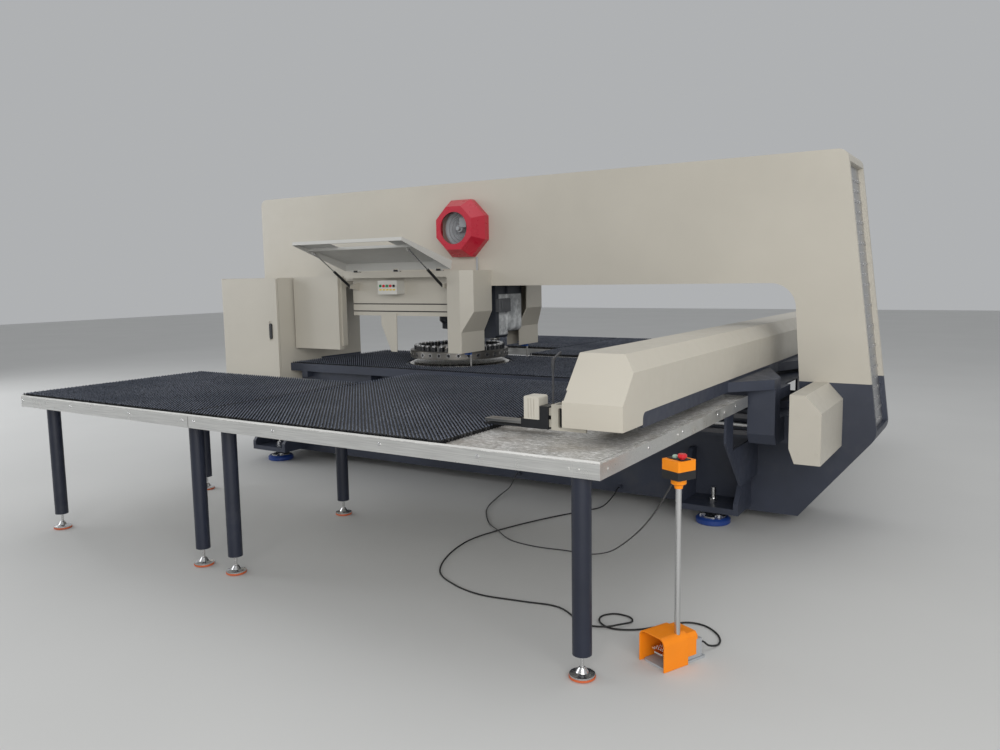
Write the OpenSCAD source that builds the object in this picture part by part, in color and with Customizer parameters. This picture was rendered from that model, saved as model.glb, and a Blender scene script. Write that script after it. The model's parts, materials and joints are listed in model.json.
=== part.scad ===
// Turret punch press: an O-shaped frame, a two-disc tool turret, a carriage beam that slides along X
// under brush tables, a guard with a lift-up lid, and a separate foot-switch station.
// X runs along the frame, Y along the beam, Z up. The origin lies on the floor below the frame's middle.

/* [Frame] */
// Overall length of O-frame
frame_l = 4940; // [4700:5100]
// Thickness of frame from front face to back face
frame_t = 500; // [440:560]
// Height of frame's top above floor
frame_h = 2214; // [2150:2300]
// Gap between floor and frame's underside
floor_gap = 65; // [50:90]
// How far leaning right end draws in at top
end_lean = 205; // [120:260]
// Height at which right end is widest
end_knee_z = 580; // [500:680]
// Length of slanted cut at right end's foot
toe_cut = 422; // [300:460]
// Radius of frame's outer corners
frame_r = 60; // [20:90]
// Radius of round knee at right end
knee_r = 100; // [40:140]
// Left edge of throat, from frame's left end
throat_left = 630; // [560:680]
// Right edge of throat, from frame's widest point
throat_right = 425; // [380:460]
// Lean of throat's right edge
throat_lean = 48; // [0:4:80]
// Height of throat's floor
throat_z0 = 760; // [700:770]
// Height of bridge's underside
throat_z1 = 1465; // [1400:1530]
// Radius of throat's corners
throat_r = 150; // [60:200]
// Height where dark base meets pale bridge
paint_z = 886; // [840:930]
// Thickness of side plates past end panel
side_plate_t = 34; // [20:60]
// Depth of recess between those plates
end_recess = 42; // [30:80]
// Thickness of end panel in that recess
end_panel_t = 14; // [6:24]
// Height of raised ribs on end panel
end_rib_h = 5; // [2:8]

/* [Levelling feet] */
// Left foot pair's distance from frame's left end
foot_inset_left = 258; // [220:320]
// Right foot pair's distance from frame's widest point
foot_inset_right = 892; // [840:940]
// Distance of foot's centre from frame's face
foot_out = 150; // [130:180]
// Diameter of round pad
pad_d = 210; // [180:240]
// Height of round pad
pad_h = 42; // [30:55]
// Diameter of foot's threaded stud
foot_stud_d = 30; // [20:40]
// Thickness of bracket's bottom plate
bracket_plate_t = 36; // [20:50]
// Width of foot bracket along frame
bracket_w = 380; // [300:420]
// Height of foot bracket's cheeks
bracket_h = 340; // [260:380]
// Thickness of foot bracket's cheeks
cheek_t = 30; // [16:40]

/* [Ram drive] */
// From turret's axis to drive's centre along X
drive_off = 250; // [240:260]
// Height of drive's centre
drive_z = 1880; // [1820:1920]
// Width across flats of eight-sided drive cover at its foot
cover_af = 410; // [360:450]
// Width across flats of cover's front face
cover_front_af = 305; // [270:330]
// Depth of cover's straight band
cover_band = 50; // [20:70]
// Depth of cover's slanted part
cover_slant = 100; // [60:130]
// Diameter of cover's round window
cover_window_d = 228; // [180:250]
// Diameter of ram
ram_d = 80; // [50:110]
// Stroke of ram
ram_stroke = 31; // [20:37]
// Radial running clearance of shafts and ram
run_gap = 0.06; // [0.02:0.01:0.1]

/* [Turret] */
// From frame's left end to turret's axis
turret_inset = 1880; // [1870:1890]
// Radius of upper disc
disc_r = 383; // [370:390]
// Thickness of upper disc
disc_t = 59; // [40:64]
// Height of upper disc's underside
disc_z = 920; // [914:930]
// Radius of lower disc
lower_r = 390; // [375:396]
// Height of lower disc's top
lower_top_z = 886; // [880:890]
// Thickness of lower disc
lower_t = 51; // [40:70]
// Number of tool stations
station_n = 32; // [20:32]
// Radius of circle of stations
station_r = 331; // [325:335]
// Diameter of punch holder
holder_d = 46; // [30:50]
// Height of punch holder above disc
holder_h = 30; // [20:36]
// Height of punch head above its holder
head_h = 9; // [6:14]
// Diameter of radial holes in disc's rim
rim_hole_d = 22; // [8:26]
// Diameter of turret's shafts
shaft_d = 180; // [140:220]
// Outer diameter of shafts' bearing housings
bearing_d = 300; // [260:340]
// Height of upper bearing housing
bearing_h = 330; // [280:350]
// Gap between sheet table and lower disc
table_gap = 14; // [6:24]

/* [Turret guard] */
// Guard front's distance from frame's face
guard_out = 297; // [280:320]
// Height of guard's top
guard_top_z = 1577; // [1540:1600]
// Thickness of guard's folded sheet
sheet_t = 6; // [3:0.5:10]
// Gap between cabinet and side cover
side_cover_gap = 17; // [12:40]
// Width of side cover
side_cover_w = 490; // [440:510]
// Height of side cover's lower edge
side_cover_z0 = 985; // [950:1020]
// Height of side cover's top
side_cover_z1 = 1552; // [1520:1570]
// From turret's axis to cross panel's left edge
cross_off = 680; // [665:685]
// Height of cross panel's top rail
rail_h = 43; // [30:60]
// Depth by which panel is set back from rail
panel_set_back = 97; // [80:110]
// Height of cross panel's lower edge
panel_z0 = 1249; // [1220:1280]
// Height of each lap groove on cross panel
groove_h = 9; // [4:14]
// Heights of two lap grooves
groove_z = [1278, 1333];
// From turret's axis to shroud's left edge
shroud_off = 285; // [280:290]
// Width of shroud
shroud_w = 185; // [170:195]
// Width of shroud's lower part
shroud_foot_w = 115; // [100:125]
// Height of shroud's lower edge
shroud_z0 = 994; // [980:1010]
// Heights where shroud's slanted side begins and ends
shroud_slant_z = [1142, 1286];
// Corner cut of shroud seen from above, along X and along Y
shroud_cut = [75, 62];
// Width of tapered hose bracket below cross panel
hose_w = 150; // [120:170]
// From turret's axis to that bracket's left edge
hose_off = 400; // [390:410]
// Height of that bracket's tip
hose_z0 = 978; // [970:1040]
// Width, depth and height of push-button box
button_box = [181, 92, 102];
// From turret's axis to push-button box's left edge
button_box_off = 351; // [340:360]
// Height of push-button box's underside
button_box_z0 = 1412; // [1405:1415]
// Diameter of push button
button_d = 20; // [14:24]
// How far push button stands out
button_out = 9; // [7:14]
// Travel of push button
button_travel = 4; // [2:0.5:4]
// Diameter of sheet sensor's rod
sensor_rod_d = 14; // [8:20]

/* [Lid] */
// From cross panel's left edge to lid's
lid_off = 20; // [18:30]
// Width of lid
lid_w = 985; // [960:988]
// Length of lid from hinge edge to front edge
lid_l = 570; // [540:590]
// Depth of lid's tray
lid_d = 64; // [56:70]
// Thickness of lid's sheet
lid_t = 4; // [2:0.5:6]
// Angle from closed to open position in which it rests
lid_open = 105; // [100:110]
// Height of hinge line above guard's top
hinge_up = 8; // [7:12]
// Distance of each strut's foot from hinge line, along Y and Z
strut_foot = [10, -115];
// Distance of each strut's head from hinge line on open lid, along Y and Z
strut_head = [-350, 130];
// Inset of two struts from lid's left and right ends
strut_in = [30, 84];
// Diameter of strut's cylinder
strut_d = 20; // [14:26]
// Diameter of strut's rod
strut_rod_d = 9; // [6:11]
// Length of strut's cylinder
strut_cyl_l = 205; // [190:215]

/* [Cabinet] */
// Width of electrical cabinet
cabinet_w = 638; // [600:640]
// Depth of electrical cabinet
cabinet_d = 470; // [430:500]
// Height of cabinet's underside
cabinet_z0 = 560; // [520:600]
// Height of cabinet's top
cabinet_z1 = 1547; // [1500:1600]
// Wall of cabinet
cabinet_wall = 12; // [6:20]
// Thickness of cabinet's door
door_t = 18; // [12:26]
// Gap round cabinet's door
door_gap = 3; // [1:0.5:6]

/* [Tables] */
// From machine's middle to tables' outer edge
table_edge_y = 2660; // [2560:2700]
// From frame's left end to side tables
table_inset = 500; // [490:570]
// From turret's axis to joint between narrow and wide side table
joint_off = 180; // [150:210]
// How far side tables reach past beam's cover
table_past_beam = 50; // [30:70]
// Inner edge of narrow side table
narrow_y = 1350; // [1250:1450]
// Inner edge of wide side table
wide_inner_y = 770; // [755:800]
// Half width of centre table
centre_half_y = 600; // [590:615]
// Gap between centre table and throat's left edge
centre_gap_left = 10; // [9:40]
// Gap between centre table and throat's right edge
centre_gap_right = 55; // [53:145]
// Width of centre table's bare margin on right
centre_bare = 490; // [440:540]
// Height of centre table's rim above side tables' rims
centre_lift = 12; // [0:20]
// Height of steel rims' top
table_z = 856; // [840:862]
// Height of table's steel rim
rim_h = 61; // [50:75]
// Thickness of table's steel rim
rim_t = 5; // [3:0.5:8]
// Thickness of table's deck
deck_t = 8; // [5:12]
// Gap between neighbouring tables
joint_gap = 4; // [2:0.5:8]
// Height of pass line on brush tips
pass_z = 878; // [872:884]
// Distance between rows of bristles
brush_pitch = 46; // [40:60]
// Depth of valleys between rows of bristles
brush_valley = 9; // [5:14]
// Width of bare steel margin beside brushes at beam's side
bare_margin = 710; // [650:760]
// Width of plain rim left round each brush field
brush_rim = 22; // [14:40]
// Diameter of table leg
leg_d = 76; // [60:90]
// Height of table leg's lower end
leg_z0 = 95; // [80:120]
// Diameter of leg's round foot
dish_d = 100; // [80:120]
// Height of rubber ring under leg's foot
ring_h = 11; // [7:16]
// Diameter of leg's threaded stem
stem_d = 16; // [10:22]
// Distance of front legs from tables' outer edge
leg_inset_y = 165; // [140:200]
// Distance of outermost left legs from table's left edge
leg_inset_x = 48; // [44:80]
// Distance of legs of both tables from their joint
leg_joint_inset = [154, 104];
// Distance of right legs from right and outer edges of table
leg_corner = [104, 58];
// Distance of inner legs from narrow table's inner edge
leg_inner_inset = 46; // [44:80]

/* [Beam] */
// From throat's right edge to beam's cover at its loading end
beam_gap = 215; // [210:230]
// Width of beam's cover
beam_cover_w = 270; // [262:280]
// Height of beam cover's top
beam_top_z = 1206; // [1190:1230]
// Height of cover's lower edge at its ends
beam_cover_z0 = 911; // [905:920]
// Height of cover's lower edge along its side
beam_side_z0 = 963; // [955:970]
// Height of cover's lower edge on clamp side
clamp_slot_z = 1060; // [1055:1075]
// From machine's middle to cover's ends
beam_half_l = 2346; // [2300:2400]
// Corner cut along cover's top, along X and Z
beam_cut = [62, 68];
// Height at which cover's end starts to slant
beam_end_z = 1016; // [1000:1030]
// How far cover's end draws in at top
beam_end_slant = 166; // [120:200]
// Thickness of cover's sheet
cover_t = 5; // [3:0.5:8]
// Travel of beam towards turret
beam_travel = 1250; // [1000:1250]
// Width of beam inside its cover
beam_w = 125; // [110:130]
// From cover's end to beam's end inside it
beam_end_gap = 216; // [196:246]
// Length of deeper skirt at each end of cover's side
skirt_l = 203; // [160:215]
// Height of beam's underside
beam_z0 = 896; // [894:900]
// Height of beam
beam_h = 220; // [180:225]

/* [Clamps] */
// Number of sheet clamps
clamp_n = 3; // [3:3]
// Distance between clamps
clamp_pitch = 800; // [700:820]
// Travel of clamp carriage along beam
carriage_travel = 2500; // [2300:2500]
// From first clamp's middle to machine's middle
clamp_first_y = 2232; // [2222:2240]
// Width of clamp along beam
clamp_w = 72; // [60:78]
// Length of clamp's jaws past its body
jaw_l = 190; // [160:200]
// Mouth between clamp's jaws when it is open
jaw_mouth = 8; // [6:0.5:10]
// Angle by which upper jaw closes
jaw_close = 1.6; // [1:0.1:1.8]

/* [Beam drive] */
// From frame's face to drive bed's front
bed_out = 170; // [150:190]
// Height of drive bed's underside
bed_z0 = 550; // [530:560]
// Height of drive bed
bed_h = 170; // [150:175]
// How far drive bed reaches past saddle's travel
bed_margin = 60; // [58:80]
// Heights of two rails' middles above bed's underside
rail_at = [34, 134];
// Width and depth of linear rail
rail_size = [28, 24];
// Diameter of beam's drive screw
screw_d = 32; // [24:40]
// Length of saddle along rails
saddle_l = 220; // [180:240]
// Plan length of knee plate where it meets beam
knee_root = 840; // [700:900]
// Plan length of knee plate's outer edge
knee_tip = 130; // [100:180]
// From frame's widest point on right to drive's end cover
drive_cover_inset = 350; // [340:360]
// Width of drive's end cover
drive_cover_w = 163; // [155:170]
// From frame's face to end cover's front
drive_cover_out = 600; // [560:620]
// Height of end cover's underside
drive_cover_z0 = 519; // [500:530]
// Height of end cover's top
drive_cover_z1 = 887; // [875:888]

/* [Foot-switch station] */
// Position of station's treadle on floor
station_at = [1970, -2385];
// Angle by which station is turned
station_turn = -25; // [-40:0]
// Width of pedal guard
guard_w = 142; // [130:160]
// Height of pedal guard
guard_h = 132; // [120:150]
// Length of pedal guard
guard_l = 128; // [110:150]
// Wall of pedal guard
guard_wall = 5; // [3:0.5:8]
// Diameter of station's pole
pole_d = 23; // [18:30]
// Height of pole's top
pole_top = 712; // [680:760]
// Width, depth and height of push-button head
head = [92, 92, 74];
// Angle of treadle's travel
treadle_angle = 8; // [4:9]
// Diameter of stop button's mushroom
stop_d = 36; // [28:40]
// Travel of head's buttons
head_travel = 5; // [3:0.5:6]
// Diameter of pedal's cable
pedal_cord_d = 8; // [6:0.5:10]
// Diameter of head's cable
head_cord_d = 7; // [5:0.5:8]

/* [Hidden] */

cream = [0.80, 0.78, 0.72];
dark = [0.16, 0.18, 0.22];
steel = [0.70, 0.70, 0.69];
black = [0.06, 0.06, 0.07];
orange = [0.95, 0.48, 0.10];

// Free play between pieces that move past each other without being a fit
play = 0.3;
left_x = -frame_l / 2;
right_x = frame_l / 2;
face_y = frame_t / 2;
guard_y = face_y + guard_out;
panel_y = guard_y - panel_set_back;
turret_x = left_x + turret_inset;
punch_x = turret_x + station_r;
drive_x = turret_x + drive_off;
cross_x0 = turret_x - cross_off;
shroud_x0 = turret_x + shroud_off;
hose_x0 = turret_x - hose_off;
button_box_x0 = turret_x - button_box_off;
lid_x0 = cross_x0 + lid_off;
throat_x1 = right_x - throat_right;
beam_x1 = throat_x1 - beam_gap;
beam_half = beam_half_l - beam_end_gap;
table_x0 = left_x + table_inset;
table_x1 = beam_x1 + table_past_beam;
joint_x = turret_x + joint_off;
centre_x0 = left_x + throat_left + centre_gap_left;
centre_x1 = throat_x1 - centre_gap_right;
centre_brush_x1 = centre_x1 - centre_bare;
bed_x0 = beam_x1 - beam_travel - bed_margin;
drive_cover_x0 = right_x - drive_cover_inset;
disc_top = disc_z + disc_t;
head_top = disc_top + holder_h + head_h;
ram_z0 = head_top + 2 + ram_stroke;
hinge_z = guard_top_z + hinge_up;
foot_xs = [left_x + foot_inset_left, right_x - foot_inset_right];
foot_y = face_y + foot_out;
foot_plate_z = floor_gap + 30;
deck_z = table_z - deck_t;
narrow_x1 = joint_x - joint_gap / 2;
wide_x0 = joint_x + joint_gap / 2;
centre_z = table_z + centre_lift;
cabinet_x0 = left_x;
side_cover_x0 = cabinet_x0 + cabinet_w + side_cover_gap;
cabinet_y = face_y + cabinet_d;
bed_y = face_y + bed_out;
rail_y = bed_y + rail_size[1];
screw_z = bed_z0 + (rail_at[0] + rail_at[1]) / 2;
screw_y = bed_y + 26;
saddle_x = beam_x1 + saddle_l / 2;
beam_face_x = beam_x1 - cover_t;
beam_left_x = beam_face_x - beam_w;
beam_rail_x = beam_left_x - rail_size[1];
carriage_x = beam_rail_x - 26;
button_xs = [for (i = [0:4]) button_box_x0 + button_box[0] / 2 + (i - 2) * 32];
button_z = button_box_z0 + 62;
$fn = 48;

// Kite between an outline's corner, ends of its rounding and rounding's centre.
// It reaches 1 mm past corner, so its sides never run along outline.
function unit(v) = v / norm(v);
function half_corner(a, p, b) = acos(unit(a - p) * unit(b - p)) / 2;
function round_centre(a, p, b, r) = p + unit(unit(a - p) + unit(b - p)) * r / sin(half_corner(a, p, b));
function kite(a, p, b, r) = let (d = r / tan(half_corner(a, p, b)), c = round_centre(a, p, b, r))
  [p + unit(p - c), p + unit(a - p) * d, c, p + unit(b - p) * d];

// Outline with a corner radius of its own at each point
module rounded(pts, radii) {
  n = len(pts);
  difference() {
    polygon(pts);
    for (i = [0:n - 1])
      if (radii[i] > 0)
        difference() {
          polygon(kite(pts[(i + n - 1) % n], pts[i], pts[(i + 1) % n], radii[i]));
          translate(round_centre(pts[(i + n - 1) % n], pts[i], pts[(i + 1) % n], radii[i]))
            circle(r = radii[i]);
        }
  }
}

// Block between two opposite corners
module block(lo, hi) {
  translate(lo)
    cube(hi - lo);
}

// Outline drawn in X and Z, given a thickness along Y between two places
module along_y(y0, y1) {
  translate([0, y1, 0])
    rotate([90, 0, 0])
      linear_extrude(y1 - y0)
        children();
}

// Outline drawn in Y and Z, given a thickness along X between two places
module along_x(x0, x1) {
  translate([x0, 0, 0])
    rotate([90, 0, 90])
      linear_extrude(x1 - x0)
        children();
}

// Round bar along X
module rod_x(d, h) {
  rotate([0, 90, 0])
    cylinder(d = d, h = h);
}

// Round bar towards front
module rod_y(d, h) {
  rotate([90, 0, 0])
    cylinder(d = d, h = h);
}

// Same piece at front and mirrored at rear
module both_sides() {
  children();
  mirror([0, 1, 0])
    children();
}

// Frame

module frame_solid() {
  difference() {
    along_y(-face_y, face_y)
      rounded([[left_x, floor_gap], [left_x, frame_h], [right_x - end_lean, frame_h],
        [right_x, end_knee_z], [right_x - toe_cut, floor_gap]],
        [30, frame_r, frame_r, knee_r, 0]);
    along_y(-face_y - 1, face_y + 1)
      rounded([[left_x + throat_left, throat_z0], [left_x + throat_left, throat_z1],
        [right_x - throat_right - throat_lean, throat_z1], [right_x - throat_right, throat_z0]],
        [40, throat_r, throat_r, 40]);
  }
}

// Places its children on leaning right end: Z up along end, X out of it
module on_end() {
  translate([right_x, 0, end_knee_z])
    rotate([0, -atan(end_lean / (frame_h - end_knee_z)), 0])
      children();
}

end_l = norm([end_lean, frame_h - end_knee_z]);
end_margin = 70;
module end_pocket() {
  inner_y = face_y - side_plate_t;
  on_end()
    block([-end_recess, -inner_y, end_margin / 2], [end_recess, inner_y, end_l - end_margin]);
}

module frame_part(z0, z1) {
  difference() {
    intersection() {
      frame_solid();
      block([left_x - 1, -face_y - 1, z0], [right_x + 1, face_y + 1, z1]);
    }
    end_pocket();
  }
}

module frame_bridge() {
  color(cream)
    frame_part(paint_z, frame_h + 1);
}

gland_d = 26;
gland_l = 30;
gland_bore = 9.2;
cable_gland_at = [[895, 105], [100, 105]];

module foot_bracket(x) {
  reach = foot_out + pad_d / 2 + 25;
  difference() {
    union() {
      block([x - bracket_w / 2, face_y, foot_plate_z],
        [x + bracket_w / 2, face_y + reach, foot_plate_z + bracket_plate_t]);
      for (side = [-1, 1])
        translate([side * (bracket_w - cheek_t) / 2, 0, 0])
          along_x(x - cheek_t / 2, x + cheek_t / 2)
            polygon([[face_y, foot_plate_z], [face_y + reach, foot_plate_z],
              [face_y + reach, foot_plate_z + bracket_plate_t + 35],
              [face_y + 60, foot_plate_z + bracket_h], [face_y, foot_plate_z + bracket_h]]);
    }
    translate([x, foot_y, foot_plate_z - 1])
      cylinder(d = foot_stud_d + 2, h = bracket_plate_t + 2);
  }
}

module frame_base() {
  color(dark) {
    frame_part(floor_gap - 1, paint_z);
    both_sides()
      for (x = foot_xs)
        foot_bracket(x);
    for (at = cable_gland_at)
      difference() {
        translate([at[0], -face_y, at[1]])
          rod_y(d = gland_d, h = gland_l);
        translate([at[0], 8 - face_y - gland_l, at[1]])
          rod_y(d = gland_bore, h = 10);
      }
  }
}

module end_panel() {
  inner_y = face_y - side_plate_t - 1;
  rib_pitch = 62;
  rib_w = 64;
  color(steel)
    on_end() {
      block([-end_recess, -inner_y, end_margin / 2 + 1],
        [-end_recess + end_panel_t, inner_y, end_l - end_margin - 1]);
      for (row = [1:floor((end_l - 2 * end_margin) / rib_pitch)])
        for (col = [-2:2])
          if (abs(col * 84 + (row % 2) * 42) + rib_w / 2 < inner_y)
            translate([-end_recess + end_panel_t, col * 84 + (row % 2) * 42, row * rib_pitch])
              block([0, -rib_w / 2, 0], [end_rib_h, rib_w / 2, 16]);
    }
}

// Levelling feet

module machine_pads() {
  color([0.10, 0.22, 0.55])
    both_sides()
      for (x = foot_xs)
        translate([x, foot_y, 0])
          rotate_extrude()
            polygon([[0, 0], [pad_d / 2 - 6, 0], [pad_d / 2, 6], [pad_d / 2, pad_h - 12],
              [pad_d / 2 - 14, pad_h], [0, pad_h]]);
}

// Chrome clamp of a machine foot, with its stud and two nuts
module machine_stud() {
  claw_d = pad_d - 50;
  nut_d = foot_stud_d * 1.8;
  difference() {
    translate([0, 0, pad_h])
      rotate_extrude()
        polygon([[0, 0], [claw_d / 2, 0], [claw_d / 2, 8], [nut_d / 2 + 4, 24], [0, 24]]);
    for (a = [45:90:315])
      rotate(a)
        translate([claw_d / 2 + 4, 0, pad_h - 1])
          cylinder(d = claw_d / 2.6, h = 30);
  }
  translate([0, 0, pad_h + 24])
    cylinder(d = nut_d, h = foot_plate_z - pad_h - 24, $fn = 6);
  translate([0, 0, foot_plate_z])
    cylinder(d = foot_stud_d, h = bracket_plate_t + 90);
  translate([0, 0, foot_plate_z + bracket_plate_t])
    cylinder(d = nut_d, h = 22, $fn = 6);
}

leg_xy = [[table_x0 + leg_inset_x, table_edge_y - leg_inset_y],
  [joint_x - leg_joint_inset[0], table_edge_y - leg_inset_y],
  [joint_x + leg_joint_inset[1], table_edge_y - leg_inset_y],
  [table_x1 - leg_corner[0], table_edge_y - leg_corner[1]],
  [table_x0 + leg_inset_x, narrow_y + leg_inner_inset],
  [joint_x - leg_joint_inset[0], narrow_y + leg_inner_inset]];

// Steel dish and threaded stem under one table leg
module leg_stem() {
  translate([0, 0, ring_h])
    rotate_extrude()
      polygon([[0, 0], [dish_d / 2, 0], [dish_d / 2, 7], [dish_d / 4, 13], [stem_d / 2 + 5, 32],
        [stem_d / 2 + 2, 34], [0, 34]]);
  translate([0, 0, ring_h + 34])
    cylinder(d = stem_d, h = leg_z0 - ring_h - 34);
}

module levelling_studs() {
  color([0.82, 0.82, 0.82])
    both_sides() {
      for (x = foot_xs)
        translate([x, foot_y, 0])
          machine_stud();
      for (at = leg_xy)
        translate([at[0], at[1], 0])
          leg_stem();
    }
}

module leg_pads() {
  color([0.85, 0.28, 0.12])
    both_sides()
      for (at = leg_xy)
        translate([at[0], at[1], 0])
          rotate_extrude()
            polygon([[0, 0], [dish_d / 2 - 4, 0], [dish_d / 2 + 2, 4],
              [dish_d / 2 + 2, ring_h], [0, ring_h]]);
}

module table_legs() {
  color([0.13, 0.15, 0.22])
    both_sides()
      for (at = leg_xy)
        translate([at[0], at[1], leg_z0])
          cylinder(d = leg_d, h = deck_z - leg_z0);
}

// Ram drive

// Corner radius of an octagon from distance across its flats
function octagon_r(af) = af / 2 / cos(22.5);

cover_sheet = 4;
module ram_cover() {
  out = cover_band + cover_slant;
  color([0.74, 0.10, 0.17])
    translate([drive_x, -face_y, drive_z])
      rotate([90, 0, 0])
        difference() {
          rotate(22.5)
            rotate_extrude($fn = 8)
              polygon([[octagon_r(cover_af) - cover_sheet, 0], [octagon_r(cover_af), 0],
                [octagon_r(cover_af), cover_band], [octagon_r(cover_front_af), out],
                [0, out], [0, out - cover_sheet],
                [octagon_r(cover_front_af) - cover_sheet / 2, out - cover_sheet],
                [octagon_r(cover_af) - cover_sheet, cover_band]]);
          translate([0, 0, cover_band])
            cylinder(d = cover_window_d, h = out);
        }
}

// Ribbed drum, white block and shaft end seen through cover's window, with pipe below it
module ram_drive() {
  drum_r = cover_window_d / 2 + 20;
  color([0.55, 0.57, 0.58])
    translate([drive_x, -face_y, drive_z])
      rotate([90, 0, 0]) {
        rotate_extrude()
          polygon([[0, 0], [drum_r, 0], [drum_r, 60], [drum_r - 10, 60], [drum_r - 20, 44],
            [drum_r - 30, 48], [drum_r - 40, 32], [drum_r - 50, 36], [drum_r - 62, 20],
            [drum_r - 72, 24], [drum_r - 84, 14], [0, 14]]);
        translate([0, 0, 14])
          cylinder(d = 54, h = 60);
        translate([0, 0, 74])
          cylinder(d = 30, h = 26);
        block([4, 6, 14], [62, 76, 82]);
      }
  pipe_d = 14;
  color([0.55, 0.57, 0.58])
    translate([drive_x + cover_af / 4, -face_y - pipe_d / 2, guard_top_z])
      cylinder(d = pipe_d, h = drive_z - guard_top_z - cover_af / 2);
}

ram_guide_w = 190;
striker_z0 = ram_z0 + 22;

// Ram guide hung below bridge, and bearing drums of two turret discs
module turret_castings() {
  bore_d = ram_d + 2 * run_gap;
  shaft_bore_d = shaft_d + 2 * run_gap;
  color([0.60, 0.62, 0.64]) {
    difference() {
      union() {
        along_y(40, face_y - 10)
          rounded([[punch_x - ram_guide_w / 2, striker_z0 + 40],
            [punch_x - ram_guide_w / 2, throat_z1], [punch_x + ram_guide_w / 2, throat_z1],
            [punch_x + ram_guide_w / 2, striker_z0 + 40]], [40, 0, 0, 40]);
        along_y(-110, 60)
          rounded([[punch_x - 80, striker_z0], [punch_x - 80, throat_z1],
            [punch_x + 80, throat_z1], [punch_x + 80, striker_z0]], [20, 0, 0, 20]);
      }
      translate([punch_x, 0, striker_z0 - 1])
        cylinder(d = bore_d, h = throat_z1 - striker_z0 - 6);
    }
    difference() {
      translate([turret_x, 0, throat_z1 - bearing_h])
        rotate_extrude()
          polygon([[0, 0], [bearing_d / 2 - 20, 0], [bearing_d / 2 - 20, 40],
            [bearing_d / 2, 60], [bearing_d / 2, bearing_h], [0, bearing_h]]);
      translate([turret_x, 0, throat_z1 - bearing_h - 1])
        cylinder(d = shaft_bore_d, h = bearing_h - 9);
    }
    difference() {
      translate([turret_x, 0, throat_z0])
        cylinder(d = bearing_d, h = lower_top_z - lower_t - 5 - throat_z0);
      translate([turret_x, 0, throat_z0 + 10])
        cylinder(d = shaft_bore_d, h = 100);
    }
  }
}

module ram() {
  color(steel)
    translate([punch_x, 0, ram_z0])
      rotate_extrude()
        polygon([[0, 0], [ram_d / 2 - 6, 0], [ram_d / 2, 6],
          [ram_d / 2, throat_z1 - ram_z0 - 10], [0, throat_z1 - ram_z0 - 10]]);
}

// Turret

// Copies its children at each station of turret
module at_stations() {
  for (i = [0:station_n - 1])
    translate([turret_x, 0, 0])
      rotate(i * 360 / station_n)
        translate([station_r, 0, 0])
          children();
}

module upper_turret() {
  shaft_top = throat_z1 - 12;
  color(steel)
    difference() {
      translate([turret_x, 0, disc_z])
        rotate_extrude($fn = 96)
          polygon([[0, 0], [disc_r - 3, 0], [disc_r, 3], [disc_r, disc_t - 3],
            [disc_r - 3, disc_t], [shaft_d / 2 + 50, disc_t], [shaft_d / 2 + 44, disc_t + 22],
            [shaft_d / 2, disc_t + 22], [shaft_d / 2, shaft_top - disc_z],
            [0, shaft_top - disc_z]]);
      for (i = [0:station_n - 1])
        translate([turret_x, 0, disc_z + disc_t / 2])
          rotate(i * 360 / station_n)
            translate([disc_r - 22, 0, 0])
              rod_x(d = rim_hole_d, h = 30);
    }
}

module punch_holders() {
  color([0.10, 0.11, 0.14])
    at_stations()
      translate([0, 0, disc_top])
        cylinder(d = holder_d, h = holder_h);
}

module punch_heads() {
  color([0.75, 0.75, 0.76])
    at_stations()
      translate([0, 0, disc_top + holder_h])
        cylinder(d = holder_d - 12, h = head_top - disc_top - holder_h);
}

module lower_turret() {
  shaft_l = lower_top_z - lower_t - throat_z0 - 12;
  color(steel)
    difference() {
      translate([turret_x, 0, lower_top_z - lower_t])
        rotate_extrude($fn = 96)
          polygon([[0, -shaft_l], [shaft_d / 2, -shaft_l], [shaft_d / 2, 0], [lower_r - 18, 0],
            [lower_r - 18, lower_t / 2], [lower_r, lower_t / 2 + 8], [lower_r, lower_t - 12],
            [lower_r - 26, lower_t], [0, lower_t]]);
      at_stations()
        translate([0, 0, lower_top_z - 20])
          cylinder(d = holder_d - 20, h = 30);
    }
}

// Turret guard

side_cover_d = 50;
module side_covers() {
  x1 = side_cover_x0 + side_cover_w;
  lip = 28;
  arm_z = throat_z1 + 20;
  color(cream) {
    difference() {
      block([side_cover_x0, -guard_y, side_cover_z0], [x1 - 14, -guard_y + side_cover_d, side_cover_z1]);
      block([side_cover_x0 + sheet_t, -guard_y + sheet_t, side_cover_z0 + sheet_t],
        [x1 - 14 - sheet_t, -guard_y + side_cover_d + 1, side_cover_z1 - sheet_t]);
    }
    difference() {
      block([x1 - 60, -guard_y + lip, side_cover_z0 + 30],
        [x1, -guard_y + lip + side_cover_d, side_cover_z1 - 2]);
      block([x1 - 61, -guard_y + lip + sheet_t, side_cover_z0 + 30 + sheet_t],
        [x1 - sheet_t, -guard_y + lip + side_cover_d + 1, side_cover_z1 - 2 - sheet_t]);
    }
    for (x = [side_cover_x0 + 20, x1 - 60])
      block([x, -guard_y + sheet_t / 2, arm_z], [x + 30, -face_y, arm_z + 30]);
  }
}

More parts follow.
